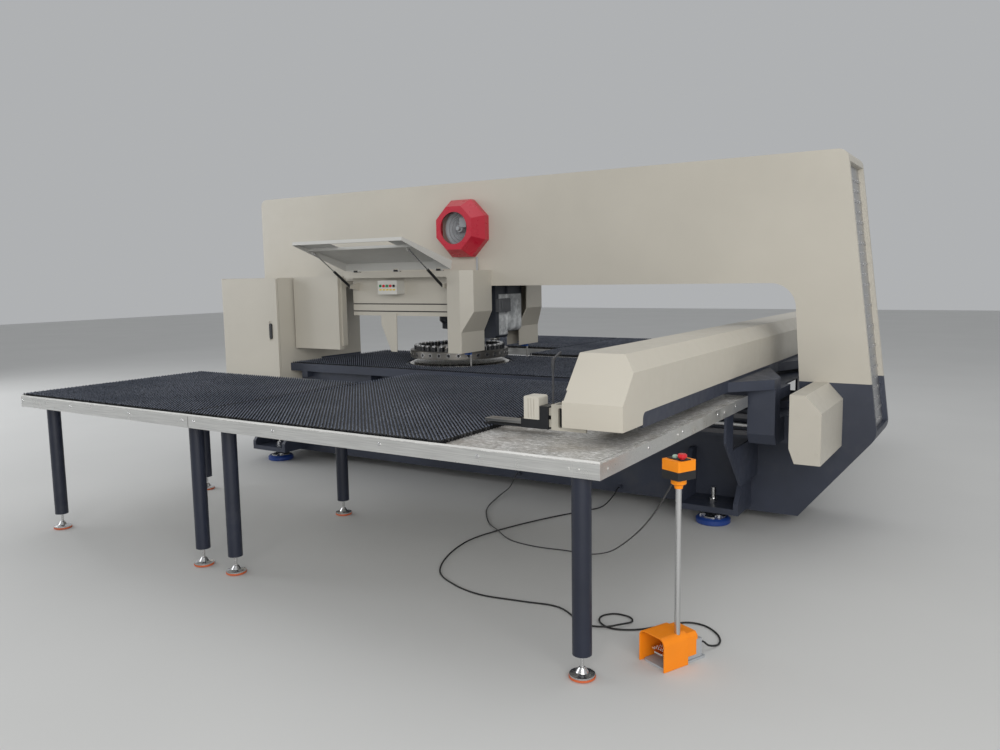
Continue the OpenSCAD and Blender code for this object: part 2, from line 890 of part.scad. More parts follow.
// Solid whose outer faces are shroud's, drawn in by given wall
module shroud_core(wall) {
  x1 = shroud_x0 + shroud_w - wall;
  foot_x1 = shroud_x0 + shroud_foot_w - wall;
  intersection() {
    along_y(-guard_y + wall, -face_y + (wall > 0 ? 1 : 0))
      polygon([[shroud_x0 + wall, shroud_z0 - (wall > 0 ? 1 : 0)],
        [shroud_x0 + wall, guard_top_z - wall], [x1, guard_top_z - wall],
        [x1, shroud_slant_z[1]], [foot_x1, shroud_slant_z[0]],
        [foot_x1, shroud_z0 - (wall > 0 ? 1 : 0)]]);
    translate([0, 0, shroud_z0 - 2])
      linear_extrude(guard_top_z - shroud_z0 + 4)
        polygon([[shroud_x0 - 1, -face_y + 2], [shroud_x0 - 1, -guard_y + wall],
          [x1 - shroud_cut[0], -guard_y + wall], [x1, -guard_y + shroud_cut[1] + wall],
          [x1, -face_y + 2]]);
  }
}

module turret_shrouds() {
  color(cream)
    both_sides()
      difference() {
        shroud_core(0);
        shroud_core(sheet_t);
      }
}

// Folded cross panel: top plate, front rail and a set-back panel with two lap joints
module cross_panel_section() {
  rail_z = guard_top_z - rail_h;
  difference() {
    polygon([[face_y, guard_top_z], [guard_y, guard_top_z], [guard_y, rail_z], [panel_y, rail_z],
      [panel_y, panel_z0], [panel_y - sheet_t, panel_z0], [panel_y - sheet_t, rail_z + sheet_t],
      [guard_y - sheet_t, rail_z + sheet_t], [guard_y - sheet_t, guard_top_z - sheet_t],
      [face_y, guard_top_z - sheet_t]]);
    for (z = groove_z)
      translate([panel_y - 2, z])
        square([3, groove_h]);
  }
}

hose_slope = 205;
strut_xs = [lid_x0 + strut_in[0], lid_x0 + lid_w - strut_in[1]];
strut_foot_y = guard_y - strut_foot[0];
strut_foot_z = hinge_z + strut_foot[1];
tab_w = 26;
pin_d = 8;

// Bracket on cross panel that carries a strut's foot on a pin
module strut_bracket(x, side) {
  inner = side * (strut_d / 2 + play);
  along_x(min(x + inner, x + inner + side * 6), max(x + inner, x + inner + side * 6))
    polygon([[-panel_y, strut_foot_z - 30], [-strut_foot_y - tab_w / 2, strut_foot_z - tab_w / 2],
      [-strut_foot_y - tab_w / 2, strut_foot_z + tab_w / 2], [-panel_y, strut_foot_z + 30]]);
  translate([x, -strut_foot_y, strut_foot_z])
    rotate([0, side * 90, 0])
      translate([0, 0, -strut_d / 2])
        cylinder(d = pin_d, h = strut_d + 4);
}

module cross_panels() {
  color(cream) {
    both_sides()
      along_x(cross_x0, shroud_x0)
        cross_panel_section();
    along_y(-panel_y - sheet_t, -panel_y)
      polygon([[hose_x0, panel_z0 + 20], [hose_x0 + hose_w, panel_z0 + 20],
        [hose_x0 + hose_w - 5, hose_z0],
        [hose_x0 + hose_w * 0.6, hose_z0],
        [hose_x0, hose_z0 + hose_slope]]);
    strut_bracket(strut_xs[0], 1);
    strut_bracket(strut_xs[1], 1);
  }
}

// Sheet feelers below shrouds: a blue block, its rod and a target plate on table
module sheet_sensors() {
  x = shroud_x0 + 74;
  y = face_y + 150;
  color([0.10, 0.25, 0.62])
    both_sides() {
      block([x - 24, y - 14, shroud_z0 - 20], [x + 14, y + 14, shroud_z0 + 20]);
      block([x - 40, y - 30, shroud_z0 + 14], [x + 20, y + 30, shroud_z0 + 20]);
      block([x - 46, y - 34, shroud_z0 + 14],
        [shroud_x0 + shroud_foot_w - sheet_t, guard_y - 30, shroud_z0 + 18]);
      translate([x + 22, y, pass_z + 12])
        cylinder(d = sensor_rod_d, h = shroud_z0 + 16 - pass_z - 12);
    }
}

module button_box() {
  box_r = 5;
  y1 = panel_y + button_box[1];
  color([0.83, 0.82, 0.78])
    difference() {
      along_y(-y1, -panel_y)
        rounded([[button_box_x0, button_box_z0],
          [button_box_x0 + button_box[0], button_box_z0],
          [button_box_x0 + button_box[0], button_box_z0 + button_box[2]],
          [button_box_x0, button_box_z0 + button_box[2]]], [box_r, box_r, box_r, box_r]);
      for (x = button_xs)
        translate([x, -y1 + 14, button_z])
          rod_y(d = button_d + 2 * run_gap, h = 20);
    }
}

module push_button(i) {
  colours = [[0.1, 0.5, 0.2], [0.8, 0.1, 0.1], [0.1, 0.5, 0.2], [0.8, 0.1, 0.1], [0.1, 0.1, 0.12]];
  color(colours[i])
    translate([button_xs[i], -panel_y - button_box[1] + 14 - button_travel - 1, button_z])
      rotate([90, 0, 0])
        rotate_extrude()
          polygon([[0, 0], [button_d / 2, 0],
            [button_d / 2, 14 - button_travel - 1 + button_out - 2],
            [button_d / 2 - 2, 14 - button_travel - 1 + button_out],
            [0, 14 - button_travel - 1 + button_out]]);
}

module push_button_1() {
  push_button(0);
}

module push_button_2() {
  push_button(1);
}

module push_button_3() {
  push_button(2);
}

module push_button_4() {
  push_button(3);
}

module push_button_5() {
  push_button(4);
}

// Lid

hinge_xs = [lid_x0 + 105, lid_x0 + lid_w / 2, lid_x0 + lid_w - 105];
hinge_pin_d = 6;
knuckle_d = 14;
knuckle_l = 40;

module lid_hinges() {
  color([0.2, 0.2, 0.2])
    for (x = hinge_xs)
      difference() {
        union() {
          translate([x - knuckle_l / 2, -guard_y, hinge_z])
            rod_x(d = knuckle_d, h = knuckle_l);
          block([x - knuckle_l / 2, -guard_y, guard_top_z],
            [x + knuckle_l / 2, -guard_y + 34, guard_top_z + 4]);
          block([x - knuckle_l / 2, -guard_y, guard_top_z], [x + knuckle_l / 2, -guard_y + 6, hinge_z]);
        }
        translate([x - knuckle_l, -guard_y, hinge_z])
          rod_x(d = hinge_pin_d + 2 * run_gap, h = 2 * knuckle_l);
      }
}

// Places its children, drawn hanging down from hinge line, in open position
module on_open_lid() {
  translate([0, -guard_y, hinge_z])
    rotate([-lid_open, 0, 0])
      children();
}

closed_head = [strut_head[0] * cos(lid_open) - strut_head[1] * sin(lid_open),
  strut_head[0] * sin(lid_open) + strut_head[1] * cos(lid_open)];
window_l = 110;
module lid() {
  x1 = lid_x0 + lid_w;
  ear = 14;
  color([0.83, 0.82, 0.78])
    on_open_lid() {
      difference() {
        block([lid_x0, -lid_d, -lid_l], [x1, -2, 0]);
        block([lid_x0 + lid_t, -lid_d + lid_t, -lid_l + lid_t], [x1 - lid_t, 0, -lid_t]);
        for (x = hinge_xs)
          block([x - knuckle_l / 2 - play, -knuckle_d, -knuckle_d],
            [x + knuckle_l / 2 + play, 1, 1]);
        block([x1 - 690, -lid_d - 1, -lid_l + 60], [x1 - 170, -lid_d + lid_t + 1, -lid_l + 60 + window_l]);
      }
      for (x = hinge_xs) {
        translate([x - knuckle_l / 2 - ear, 0, 0])
          rod_x(d = hinge_pin_d, h = knuckle_l + 2 * ear);
        for (at = [x - knuckle_l / 2 - ear, x + knuckle_l / 2 + play])
          along_x(at, at + ear - play)
            union() {
              circle(d = knuckle_d);
              translate([-knuckle_d, -knuckle_d / 2])
                square([knuckle_d, knuckle_d]);
            }
      }
      block([lid_x0 + 2, -lid_d + 2, closed_head[1] - 46], [x1 - 2, -lid_d + 22, closed_head[1] - 26]);
      for (x = strut_xs)
        along_x(x - strut_d / 2 - 6, x - strut_d / 2)
          polygon([[-lid_d + 2, closed_head[1] - 40], [-lid_d + 2, closed_head[1] + 16],
            [closed_head[0] + 8, closed_head[1] + 10], [closed_head[0] + 8, closed_head[1] - 10]]);
    }
}

strut_open = [strut_head[0] - strut_foot[0], strut_head[1] - strut_foot[1]];
strut_len = norm(strut_open);

// Places its children along a strut from its foot to its head
module on_strut(x) {
  translate([x, -strut_foot_y, strut_foot_z])
    rotate([-90 + atan2(strut_open[1], strut_open[0]), 0, 0])
      children();
}

module strut_cylinder(x) {
  color(black)
    on_strut(x)
      difference() {
        union() {
          translate([0, 0, 14])
            rotate_extrude()
              polygon([[0, 0], [strut_d / 2, 0], [strut_d / 2, strut_cyl_l - 16],
                [strut_d / 2 - 2, strut_cyl_l - 14], [0, strut_cyl_l - 14]]);
          translate([-5, 0, 0])
            rod_x(d = 18, h = 10);
          translate([-5, -5, 0])
            cube([10, 10, 20]);
        }
        translate([0, 0, 17])
          cylinder(d = strut_rod_d + 2 * run_gap, h = strut_cyl_l);
        translate([-strut_d, 0, 0])
          rod_x(d = pin_d + 2 * run_gap, h = 2 * strut_d);
      }
}

rod_end = 193;
module strut_rod(x) {
  color(steel)
    on_strut(x) {
      translate([0, 0, rod_end])
        cylinder(d = strut_rod_d, h = strut_len - rod_end);
      translate([-strut_d / 2 + 0.5, 0, strut_len])
        rod_x(d = 14, h = strut_d / 2 + 4);
    }
}

module strut_cylinder_left() {
  strut_cylinder(strut_xs[0]);
}

module strut_cylinder_right() {
  strut_cylinder(strut_xs[1]);
}

module strut_rod_left() {
  strut_rod(strut_xs[0]);
}

module strut_rod_right() {
  strut_rod(strut_xs[1]);
}

// Cabinet

door_y0 = cabinet_y - door_t;
handle_x = cabinet_x0 + cabinet_w - 75;
handle_z = cabinet_z0 + 570;
handle_shaft_d = 18;
handle_l = 110;

door_axis = [cabinet_x0 + door_t / 2, -cabinet_y + door_t / 2];
lug_t = 6;
lug_pin_d = 8;

module cabinet_body() {
  color(cream) {
    for (z = [cabinet_z0, cabinet_z1 - lug_t]) {
      block([cabinet_x0, door_axis[1], z], [cabinet_x0 + door_t, -door_y0 + door_gap + 1, z + lug_t]);
      translate([door_axis[0], door_axis[1], z])
        cylinder(d = door_t, h = lug_t);
      translate([door_axis[0], door_axis[1], z - (z == cabinet_z0 ? 0 : 16)])
        cylinder(d = lug_pin_d, h = lug_t + 16);
    }
    difference() {
      block([cabinet_x0, -door_y0 + door_gap, cabinet_z0], [cabinet_x0 + cabinet_w, -face_y, cabinet_z1]);
      block([cabinet_x0 + cabinet_wall, -door_y0, cabinet_z0 + cabinet_wall],
        [cabinet_x0 + cabinet_w - cabinet_wall, -face_y - cabinet_wall, cabinet_z1 - cabinet_wall]);
    }
  }
}

module cabinet_door() {
  z0 = cabinet_z0 + lug_t + play;
  z1 = cabinet_z1 - lug_t - play;
  color(cream)
    difference() {
      union() {
        block([door_axis[0], -cabinet_y, z0], [cabinet_x0 + cabinet_w, -door_y0, z1]);
        translate([door_axis[0], door_axis[1], z0])
          cylinder(d = door_t, h = z1 - z0);
      }
      for (z = [z0 - 1, z1 - 19])
        translate([door_axis[0], door_axis[1], z])
          cylinder(d = lug_pin_d + 2 * run_gap, h = 20);
      block([handle_x - 18, -cabinet_y - 1, handle_z - 75], [handle_x + 18, -cabinet_y + 7, handle_z + 75]);
      translate([handle_x, -door_y0 + 1, handle_z + 45])
        rod_y(d = handle_shaft_d + 2 * run_gap, h = door_t + 2);
    }
}

module cabinet_handle() {
  color([0.12, 0.12, 0.13])
    translate([handle_x, -cabinet_y, handle_z + 45]) {
      translate([0, door_t - 1, 0])
        rod_y(d = handle_shaft_d, h = door_t + 3);
      along_y(-8, -play)
        rounded([[-13, 14], [13, 14], [13, -handle_l], [-13, -handle_l]], [12, 12, 12, 12]);
    }
}

// Tables

// Steel deck inside a rim that hangs down round it
module table_tray(x0, x1, y0, y1, top) {
  block([x0, y0, top - deck_t], [x1, y1, top]);
  difference() {
    block([x0, y0, top - rim_h], [x1, y1, top - deck_t / 2]);
    block([x0 + rim_t, y0 + rim_t, top - rim_h - 1], [x1 - rim_t, y1 - rim_t, top]);
  }
}

bolt_d = 14;
groove_inset = 20;
module side_tables() {
  color(steel)
    both_sides() {
      table_tray(table_x0, narrow_x1, narrow_y, table_edge_y, table_z);
      for (y = [narrow_y + 100, table_edge_y - 150])
        block([narrow_x1 - 1, y, table_z - rim_h + 8],
          [wide_x0 + 1, y + 50, table_z - 16]);
      difference() {
        union() {
          table_tray(wide_x0, table_x1, wide_inner_y, table_edge_y,
            table_z);
          for (x = [table_x1 - 90, table_x1 - 131])
            translate([x, table_edge_y + 3, table_z - rim_h / 2])
              rod_y(d = bolt_d, h = 4);
          for (y = [table_edge_y - 72, table_edge_y - 800, table_edge_y - 1470])
            translate([table_x1 - 1, y, table_z - rim_h / 2])
              rod_x(d = bolt_d, h = 4);
        }
        block([table_x1 - groove_inset - 6, wide_inner_y - 1, table_z - 3],
          [table_x1 - groove_inset, table_edge_y + 1, table_z + 1]);
        block([table_x1 - 112, table_edge_y - 1, table_z - rim_h - 1],
          [table_x1 - 109, table_edge_y + 1, table_z + 1]);
      }
    }
}

// Places of bars that carry centre table on frame's lower arm
cross_bar_xs = [centre_x0 + 120, turret_x + lower_r + 60, centre_brush_x1 - 200];

module centre_table() {
  color([0.20, 0.21, 0.24])
    difference() {
      union() {
        table_tray(centre_x0, centre_x1, -centre_half_y, centre_half_y, centre_z);
        for (x = cross_bar_xs)
          block([x, -centre_half_y + 1, throat_z0], [x + 60, centre_half_y - 1, centre_z - rim_h + 1]);
        both_sides()
          block([centre_x0 + 60, centre_half_y - 190, centre_z - rim_h - 70],
            [turret_x - lower_r - 60, centre_half_y - 60, centre_z - deck_t + 1]);
      }
      translate([turret_x, 0, throat_z0 - 100])
        cylinder(r = lower_r + table_gap, h = 300);
      both_sides()
        block([right_x - throat_right - throat_lean - 40, 0, throat_z0],
          [centre_x1 + 1, face_y + 14, centre_z + 1]);
    }
}

// Field of bristle rows: ridges along Y on a common pad
module brush_field(x0, x1, y0, y1, top) {
  rows = floor((x1 - x0) / brush_pitch);
  half = (x1 - x0) / rows / 2;
  translate([0, y0, 0])
    mirror([0, 1, 0])
      rotate([90, 0, 0])
        linear_extrude(y1 - y0)
          polygon(concat([[x1, top], [x0, top]],
            [for (i = [0:rows - 1])
              each [[x0 + 2 * i * half, pass_z - brush_valley],
                [x0 + (2 * i + 0.6) * half, pass_z],
                [x0 + (2 * i + 1.4) * half, pass_z]]],
            [[x1, pass_z - brush_valley]]));
}

module brush_mats() {
  color([0.07, 0.08, 0.11]) {
    both_sides() {
      brush_field(table_x0 + brush_rim, narrow_x1 - 2,
        narrow_y + brush_rim, table_edge_y - brush_rim, table_z);
      brush_field(wide_x0 + 2, table_x1 - bare_margin, wide_inner_y + brush_rim,
        table_edge_y - brush_rim, table_z);
    }
    difference() {
      brush_field(centre_x0 + brush_rim, centre_brush_x1, -centre_half_y + brush_rim,
        centre_half_y - brush_rim, centre_z);
      translate([turret_x, 0, table_z])
        cylinder(r = lower_r + table_gap + 12, h = 100);
    }
  }
}

// Brackets and drive bed

bracket_ends = [joint_x + leg_joint_inset[1], table_x1 - 84];
bracket_xs = [bracket_ends[0], (bracket_ends[0] + bracket_ends[1]) / 2, bracket_ends[1]];
bracket_low = 300;
bracket_foot = 350;
bracket_rise = 300;
bracket_reach = 130;
screw_ends = [bed_x0 + 30, drive_cover_x0 - 40];
bearing_w = 50;

module screw_bearing(x) {
  difference() {
    block([x - bearing_w / 2, -screw_y - 40, screw_z - 34], [x + bearing_w / 2, -bed_y, screw_z + 34]);
    translate([x - bearing_w, -screw_y, screw_z])
      rod_x(d = screw_d - 8 + 2 * run_gap, h = 2 * bearing_w);
  }
}

module base_brackets() {
  plate_t = 14;
  out = wide_inner_y + bracket_reach;
  color(dark) {
    both_sides() {
      for (x = bracket_xs)
        along_x(x - plate_t / 2, x + plate_t / 2)
          polygon([[face_y, bracket_low], [face_y + bracket_foot, bracket_low],
            [out, bracket_low + bracket_rise], [out, table_z - rim_h],
            [wide_inner_y + 5, table_z - rim_h], [wide_inner_y + 5, bed_z0 - 10],
            [face_y, bed_z0 - 10]]);
      block([bed_x0, face_y, bed_z0], [drive_cover_x0, bed_y, bed_z0 + bed_h]);
    }
    for (x = screw_ends)
      screw_bearing(x);
  }
}

module drive_rails() {
  color([0.78, 0.78, 0.78])
    both_sides()
      for (z = rail_at)
        block([bed_x0 + 70, bed_y, bed_z0 + z - rail_size[0] / 2],
          [drive_cover_x0 - 70, rail_y, bed_z0 + z + rail_size[0] / 2]);
}

module drive_screw() {
  collar = bearing_w / 2 + play;
  color([0.80, 0.80, 0.80])
    translate([0, -screw_y, screw_z])
      rotate([0, 90, 0]) {
        translate([0, 0, screw_ends[0] - bearing_w / 2])
          cylinder(d = screw_d - 8, h = screw_ends[1] - screw_ends[0] + bearing_w);
        translate([0, 0, screw_ends[0] + collar])
          cylinder(d = screw_d, h = screw_ends[1] - screw_ends[0] - 2 * collar);
      }
}

module drive_cover() {
  y0 = -face_y - drive_cover_out;
  x1 = drive_cover_x0 + drive_cover_w;
  slope = 90;
  color(cream)
    difference() {
      union() {
        along_y(y0, -face_y)
          polygon([[drive_cover_x0, drive_cover_z1], [drive_cover_x0 + drive_cover_w / 2, drive_cover_z1],
            [x1, drive_cover_z1 - slope], [x1, drive_cover_z0],
            [drive_cover_x0 + 30, drive_cover_z0], [drive_cover_x0, drive_cover_z0 + 80]]);
        for (z = [drive_cover_z0 + 60, drive_cover_z1 - slope - 20])
          for (x = [drive_cover_x0 + 50, x1 - 20])
            translate([x, y0, z])
              rod_y(d = 12, h = 3);
      }
      along_y(y0 + cover_t, -face_y + 1)
        polygon([[drive_cover_x0 - 1, drive_cover_z1 - cover_t],
          [drive_cover_x0 + drive_cover_w / 2 - 2, drive_cover_z1 - cover_t],
          [x1 - cover_t, drive_cover_z1 - slope - 2], [x1 - cover_t, drive_cover_z0 + cover_t],
          [drive_cover_x0 + 32, drive_cover_z0 + cover_t], [drive_cover_x0 - 1, drive_cover_z0 + 82]]);
    }
}

// Beam

beam_rail_z = [beam_z0 + 40, beam_z0 + 140];
saddle_y1 = rail_y + 76;
arm_y0 = wide_inner_y - 140;
arm_y1 = wide_inner_y - 30;
knee_t = 54;
knee_y = [119, 119 + knee_root];

// Saddle running on two rails, arm that rises beside table and knee plate on top
module knee() {
  difference() {
    block([beam_x1, bed_y + 6, bed_z0 + 10], [beam_x1 + saddle_l, saddle_y1, bed_z0 + bed_h]);
    for (z = rail_at)
      block([beam_x1 - 1, bed_y - 1, bed_z0 + z - rail_size[0] / 2 - run_gap],
        [beam_x1 + saddle_l + 1, rail_y + run_gap, bed_z0 + z + rail_size[0] / 2 + run_gap]);
    translate([beam_x1 - 1, screw_y, screw_z])
      rod_x(d = screw_d + 2 * run_gap, h = saddle_l + 2);
  }
  along_x(beam_x1 + 40, beam_x1 + saddle_l - 30)
    polygon([[saddle_y1 - 1, bed_z0 + 30], [arm_y1 - 40, bed_z0 + 30], [arm_y1, bed_z0 + 90],
      [arm_y1, beam_z0 + 1], [arm_y0, beam_z0 + 1], [arm_y0, bed_z0 + bed_h],
      [saddle_y1 - 1, bed_z0 + bed_h]]);
  translate([0, 0, beam_z0])
    linear_extrude(knee_t)
      polygon([[beam_left_x + 20, knee_y[0]], [beam_x1 - 4, knee_y[0]],
        [beam_x1 + saddle_l - 33, arm_y0 - 10], [beam_x1 + saddle_l - 33, arm_y0 - 10 + knee_tip],
        [beam_x1 - 4, knee_y[1]], [beam_left_x + 20, knee_y[1]]]);
}

module beam() {
  color(dark) {
    block([beam_left_x, -beam_half, beam_z0], [beam_face_x, beam_half, beam_z0 + beam_h]);
    for (z = beam_rail_z)
      block([beam_rail_x, -beam_half, z], [beam_left_x, beam_half, z + rail_size[0]]);
    both_sides()
      knee();
  }
}

module beam_section(wall) {
  x0 = beam_x1 - beam_cover_w;
  polygon([[x0 + wall, beam_cover_z0 - wall], [x0 + wall, beam_top_z - wall],
    [beam_x1 - beam_cut[0] - wall / 2, beam_top_z - wall],
    [beam_x1 - wall, beam_top_z - beam_cut[1] - wall / 2], [beam_x1 - wall, beam_cover_z0 - wall]]);
}

module beam_side(wall) {
  y = beam_half_l - wall;
  polygon([[-y, beam_cover_z0 - wall], [-y, beam_end_z], [-y + beam_end_slant, beam_top_z],
    [y - beam_end_slant, beam_top_z], [y, beam_end_z], [y, beam_cover_z0 - wall]]);
}

module beam_cover() {
  x0 = beam_x1 - beam_cover_w;
  step_y = beam_half_l - skirt_l;
  step_r = 30;
  color(cream)
    difference() {
      intersection() {
        along_y(-beam_half_l, beam_half_l)
          beam_section(0);
        along_x(x0 - 1, beam_x1 + 1)
          beam_side(0);
      }
      intersection() {
        along_y(-beam_half_l, beam_half_l)
          beam_section(cover_t);
        along_x(x0, beam_x1)
          beam_side(cover_t);
      }
      block([x0 - 1, -beam_half_l + cover_t, beam_cover_z0 - 1],
        [x0 + cover_t + 1, beam_half_l - cover_t, clamp_slot_z]);
      along_x(beam_x1 - cover_t - 1, beam_x1 + 1)
        rounded([[-step_y, beam_cover_z0 - 40], [-step_y, beam_side_z0],
          [step_y, beam_side_z0], [step_y, beam_cover_z0 - 40]], [0, step_r, step_r, 0]);
    }
}

// Clamps

clamp_ys = [for (i = [0:clamp_n - 1]) -clamp_first_y + i * clamp_pitch];
clamp_reach = 512;
clamp_x0 = beam_x1 - clamp_reach;
clamp_x1 = clamp_x0 + 135;
clamp_z0 = pass_z + 2;
mouth_z = clamp_z0 + 6;
jaw_t = 12;
jaw_z0 = mouth_z + jaw_mouth;
jaw_pin = [clamp_x1 - 55, jaw_z0 + jaw_t / 2];
jaw_pin_d = 6;
slot_z = jaw_z0 + jaw_t + 6;
block_z = slot_z + 8;
column_z = clamp_z0 + 99;
jaw_w = clamp_w - 12;

module clamp_carriage() {
  y0 = clamp_ys[0] - clamp_w;
  y1 = clamp_ys[clamp_n - 1] + clamp_w;
  plate_x0 = carriage_x - 20;
  color([0.45, 0.46, 0.48]) {
    block([plate_x0, y0, beam_z0 + 6], [carriage_x, y1, clamp_slot_z - 8]);
    for (i = [0:3])
      difference() {
        translate([0, y0 + 80 + i * (y1 - y0 - 160) / 3, 0])
          block([carriage_x - 1, -70, beam_z0 + 20], [beam_left_x - 3, 70, beam_z0 + 152]);
        for (z = beam_rail_z)
          block([beam_rail_x - run_gap, y0, z - run_gap],
            [beam_left_x, y1, z + rail_size[0] + run_gap]);
      }
  }
}

// Places its children at each clamp
module at_clamps() {
  for (y = clamp_ys)
    translate([0, y, 0])
      children();
}

module clamp_brackets() {
  slot = [19, 85];
  post_d = 9;
  post_l = 212;
  half = clamp_w / 2;
  x0 = clamp_x1;
  x1 = carriage_x - 20;
  z1 = clamp_z0 + 109;
  color([0.86, 0.83, 0.76]) {
    at_clamps()
      difference() {
        union() {
          block([x0 + 15, -half, clamp_z0], [x1, 14 - half, z1]);
          block([x0 + 15, -half, clamp_z0], [x0 + 27, half, z1]);
          for (z = [clamp_z0 + 10, clamp_z0 + 60])
            block([x0, 10 - half, z], [x0 + 16, half - 10, z + 32]);
        }
        along_y(-half - 1, 15 - half)
          translate([x0 + 58, clamp_z0 + 54])
            rounded([[-slot[0] / 2, -slot[1] / 2], [-slot[0] / 2, slot[1] / 2],
              [slot[0] / 2, slot[1] / 2], [slot[0] / 2, -slot[1] / 2]], [9, 9, 9, 9]);
      }
    translate([x0 + 21, clamp_ys[0] - half + 7, clamp_z0 + 90]) {
      cylinder(d = post_d, h = post_l);
      translate([0, 0, post_l - 40])
        cylinder(d = post_d + 5, h = 44);
      translate([-4, -4, post_l - 8])
        rotate([20, 0, 0])
          cube([8, 82, 8]);
    }
  }
}

// Slot between two fingers at tip of a jaw
module finger_gap(z) {
  block([clamp_x0 - jaw_l - 1, -6, z - 1], [clamp_x0 - 40, 6, z + jaw_t + 1]);
}

module clamp_bodies() {
  half = clamp_w / 2;
  color([0.10, 0.11, 0.14])
    at_clamps() {
      difference() {
        union() {
          block([clamp_x0, -half, clamp_z0], [clamp_x1, half, block_z]);
          block([clamp_x1 - 42, -half, clamp_z0], [clamp_x1, half, column_z]);
        }
        block([clamp_x0 - 1, -jaw_w / 2 - play, mouth_z], [clamp_x1 - 42, jaw_w / 2 + play, slot_z]);
      }
      translate([jaw_pin[0], half - 1, jaw_pin[1]])
        rod_y(d = jaw_pin_d, h = clamp_w - 2);
      difference() {
        block([clamp_x0 - jaw_l, -jaw_w / 2, clamp_z0], [clamp_x0 + 1, jaw_w / 2, mouth_z]);
        finger_gap(clamp_z0);
      }
    }
}

module clamp_caps() {
  half = 40;
  color([0.90, 0.88, 0.82])
    at_clamps()
      difference() {
        along_y(-half, half)
          rounded([[clamp_x0 + 18, block_z], [clamp_x1 - 43, block_z],
            [clamp_x1 - 43, column_z + 40], [clamp_x0 + 18, column_z + 40]], [0, 0, 10, 6]);
        for (x = [clamp_x0 + 38, clamp_x0 + 52, clamp_x0 + 66])
          block([x, -half - 1, block_z + 6], [x + 3, -half + 3, column_z + 30]);
      }
}

module upper_jaw(i) {
  color([0.35, 0.36, 0.38])
    translate([0, clamp_ys[i], 0])
      difference() {
        block([clamp_x0 - jaw_l, -jaw_w / 2, jaw_z0], [jaw_pin[0] + 10, jaw_w / 2, jaw_z0 + jaw_t]);
        translate([jaw_pin[0], jaw_w, jaw_pin[1]])
          rod_y(d = jaw_pin_d + 2 * run_gap, h = 2 * jaw_w);
        finger_gap(jaw_z0);
      }
}

module upper_jaw_1() {
  upper_jaw(0);
}

module upper_jaw_2() {
  upper_jaw(1);
}

module upper_jaw_3() {
  upper_jaw(2);
}

// Foot-switch station

pole_at = [46, 92];
base_t = 8;
rear_l = 57;
cast_l = 107;
treadle_y = 112;
treadle_z = 56;
treadle_t = 7;
treadle_w = 84;
treadle_l = 96;
axle_d = 8;
head_z0 = pole_top + 41;

// Places its children on station, with Y from its front to its rear
module on_station() {
  translate([station_at[0], station_at[1], 0])
    rotate(station_turn)
      children();
}

module station_pole() {
  color(steel)
    on_station()
      translate([pole_at[0], pole_at[1], base_t])
        cylinder(d = pole_d, h = pole_top - base_t + 30);
}

module pedal_base() {
  half = guard_w / 2 - guard_wall - 4;
  color([0.62, 0.63, 0.62])
    on_station()
      difference() {
        union() {
          linear_extrude(base_t)
            rounded([[-half, 14], [half, 14], [half, guard_l + cast_l],
              [-half, guard_l + cast_l]], [14, 14, 8, 8]);
          block([-half + 8, guard_l + 4, base_t - 1], [half - 8, guard_l + cast_l - 14, 82]);
          for (side = [-1, 1])
            translate([side * (treadle_w / 2 + play + 3), 0, 0])
              block([-3, treadle_y - 10, base_t - 1], [3, treadle_y + 10, treadle_z + 8]);
          translate([-treadle_w / 2 - 4, treadle_y, treadle_z])
            rod_x(d = axle_d, h = treadle_w + 8);
          translate([20, guard_l + cast_l - 15, 42])
            rotate([-90, 0, 0])
              cylinder(d = 22, h = 22);
        }
        translate([pole_at[0], pole_at[1], base_t])
          cylinder(d = pole_d + 2, h = 90);
        translate([20, guard_l + cast_l - 1, 42])
          rotate([-90, 0, 0])
            cylinder(d = gland_bore, h = 10);
      }
}

module guard_section(wall) {
  half = guard_w / 2 - wall;
  r = 30 - wall;
  rounded([[-half, -1 - wall], [-half, guard_h - wall], [half, guard_h - wall],
    [half, -1 - wall]], [0, r, r, 0]);
}

module pedal_guard() {
  rear_h = guard_h - 12;
  rear_half = guard_w / 2 - 6;
  color(orange)
    on_station()
      difference() {
        intersection() {
          union() {
            along_y(0, guard_l)
              guard_section(0);
            along_y(guard_l - 1, guard_l + rear_l)
              polygon([[-rear_half, base_t + 20], [-rear_half, rear_h - 14],
                [-rear_half + 12, rear_h], [rear_half - 12, rear_h],
                [rear_half, rear_h - 14], [rear_half, base_t + 20]]);
          }
          block([-guard_w, -1, play], [guard_w, guard_l + cast_l, guard_h + 1]);
        }
        along_y(-1, guard_l - 4)
          guard_section(guard_wall);
        block([-rear_half + guard_wall, guard_l, 0],
          [rear_half - guard_wall, guard_l + rear_l - guard_wall, rear_h - guard_wall - 8]);
        block([guard_wall - guard_w / 2, guard_l - 5, 0], [guard_w / 2 - guard_wall, guard_l + 1, 14]);
        block([-rear_half - 1, guard_l + rear_l - guard_wall - 1, 0],
          [rear_half + 1, guard_l + rear_l + 1, 90]);
        translate([pole_at[0], pole_at[1], 20])
          cylinder(d = pole_d + 0.6, h = guard_h);
      }
}

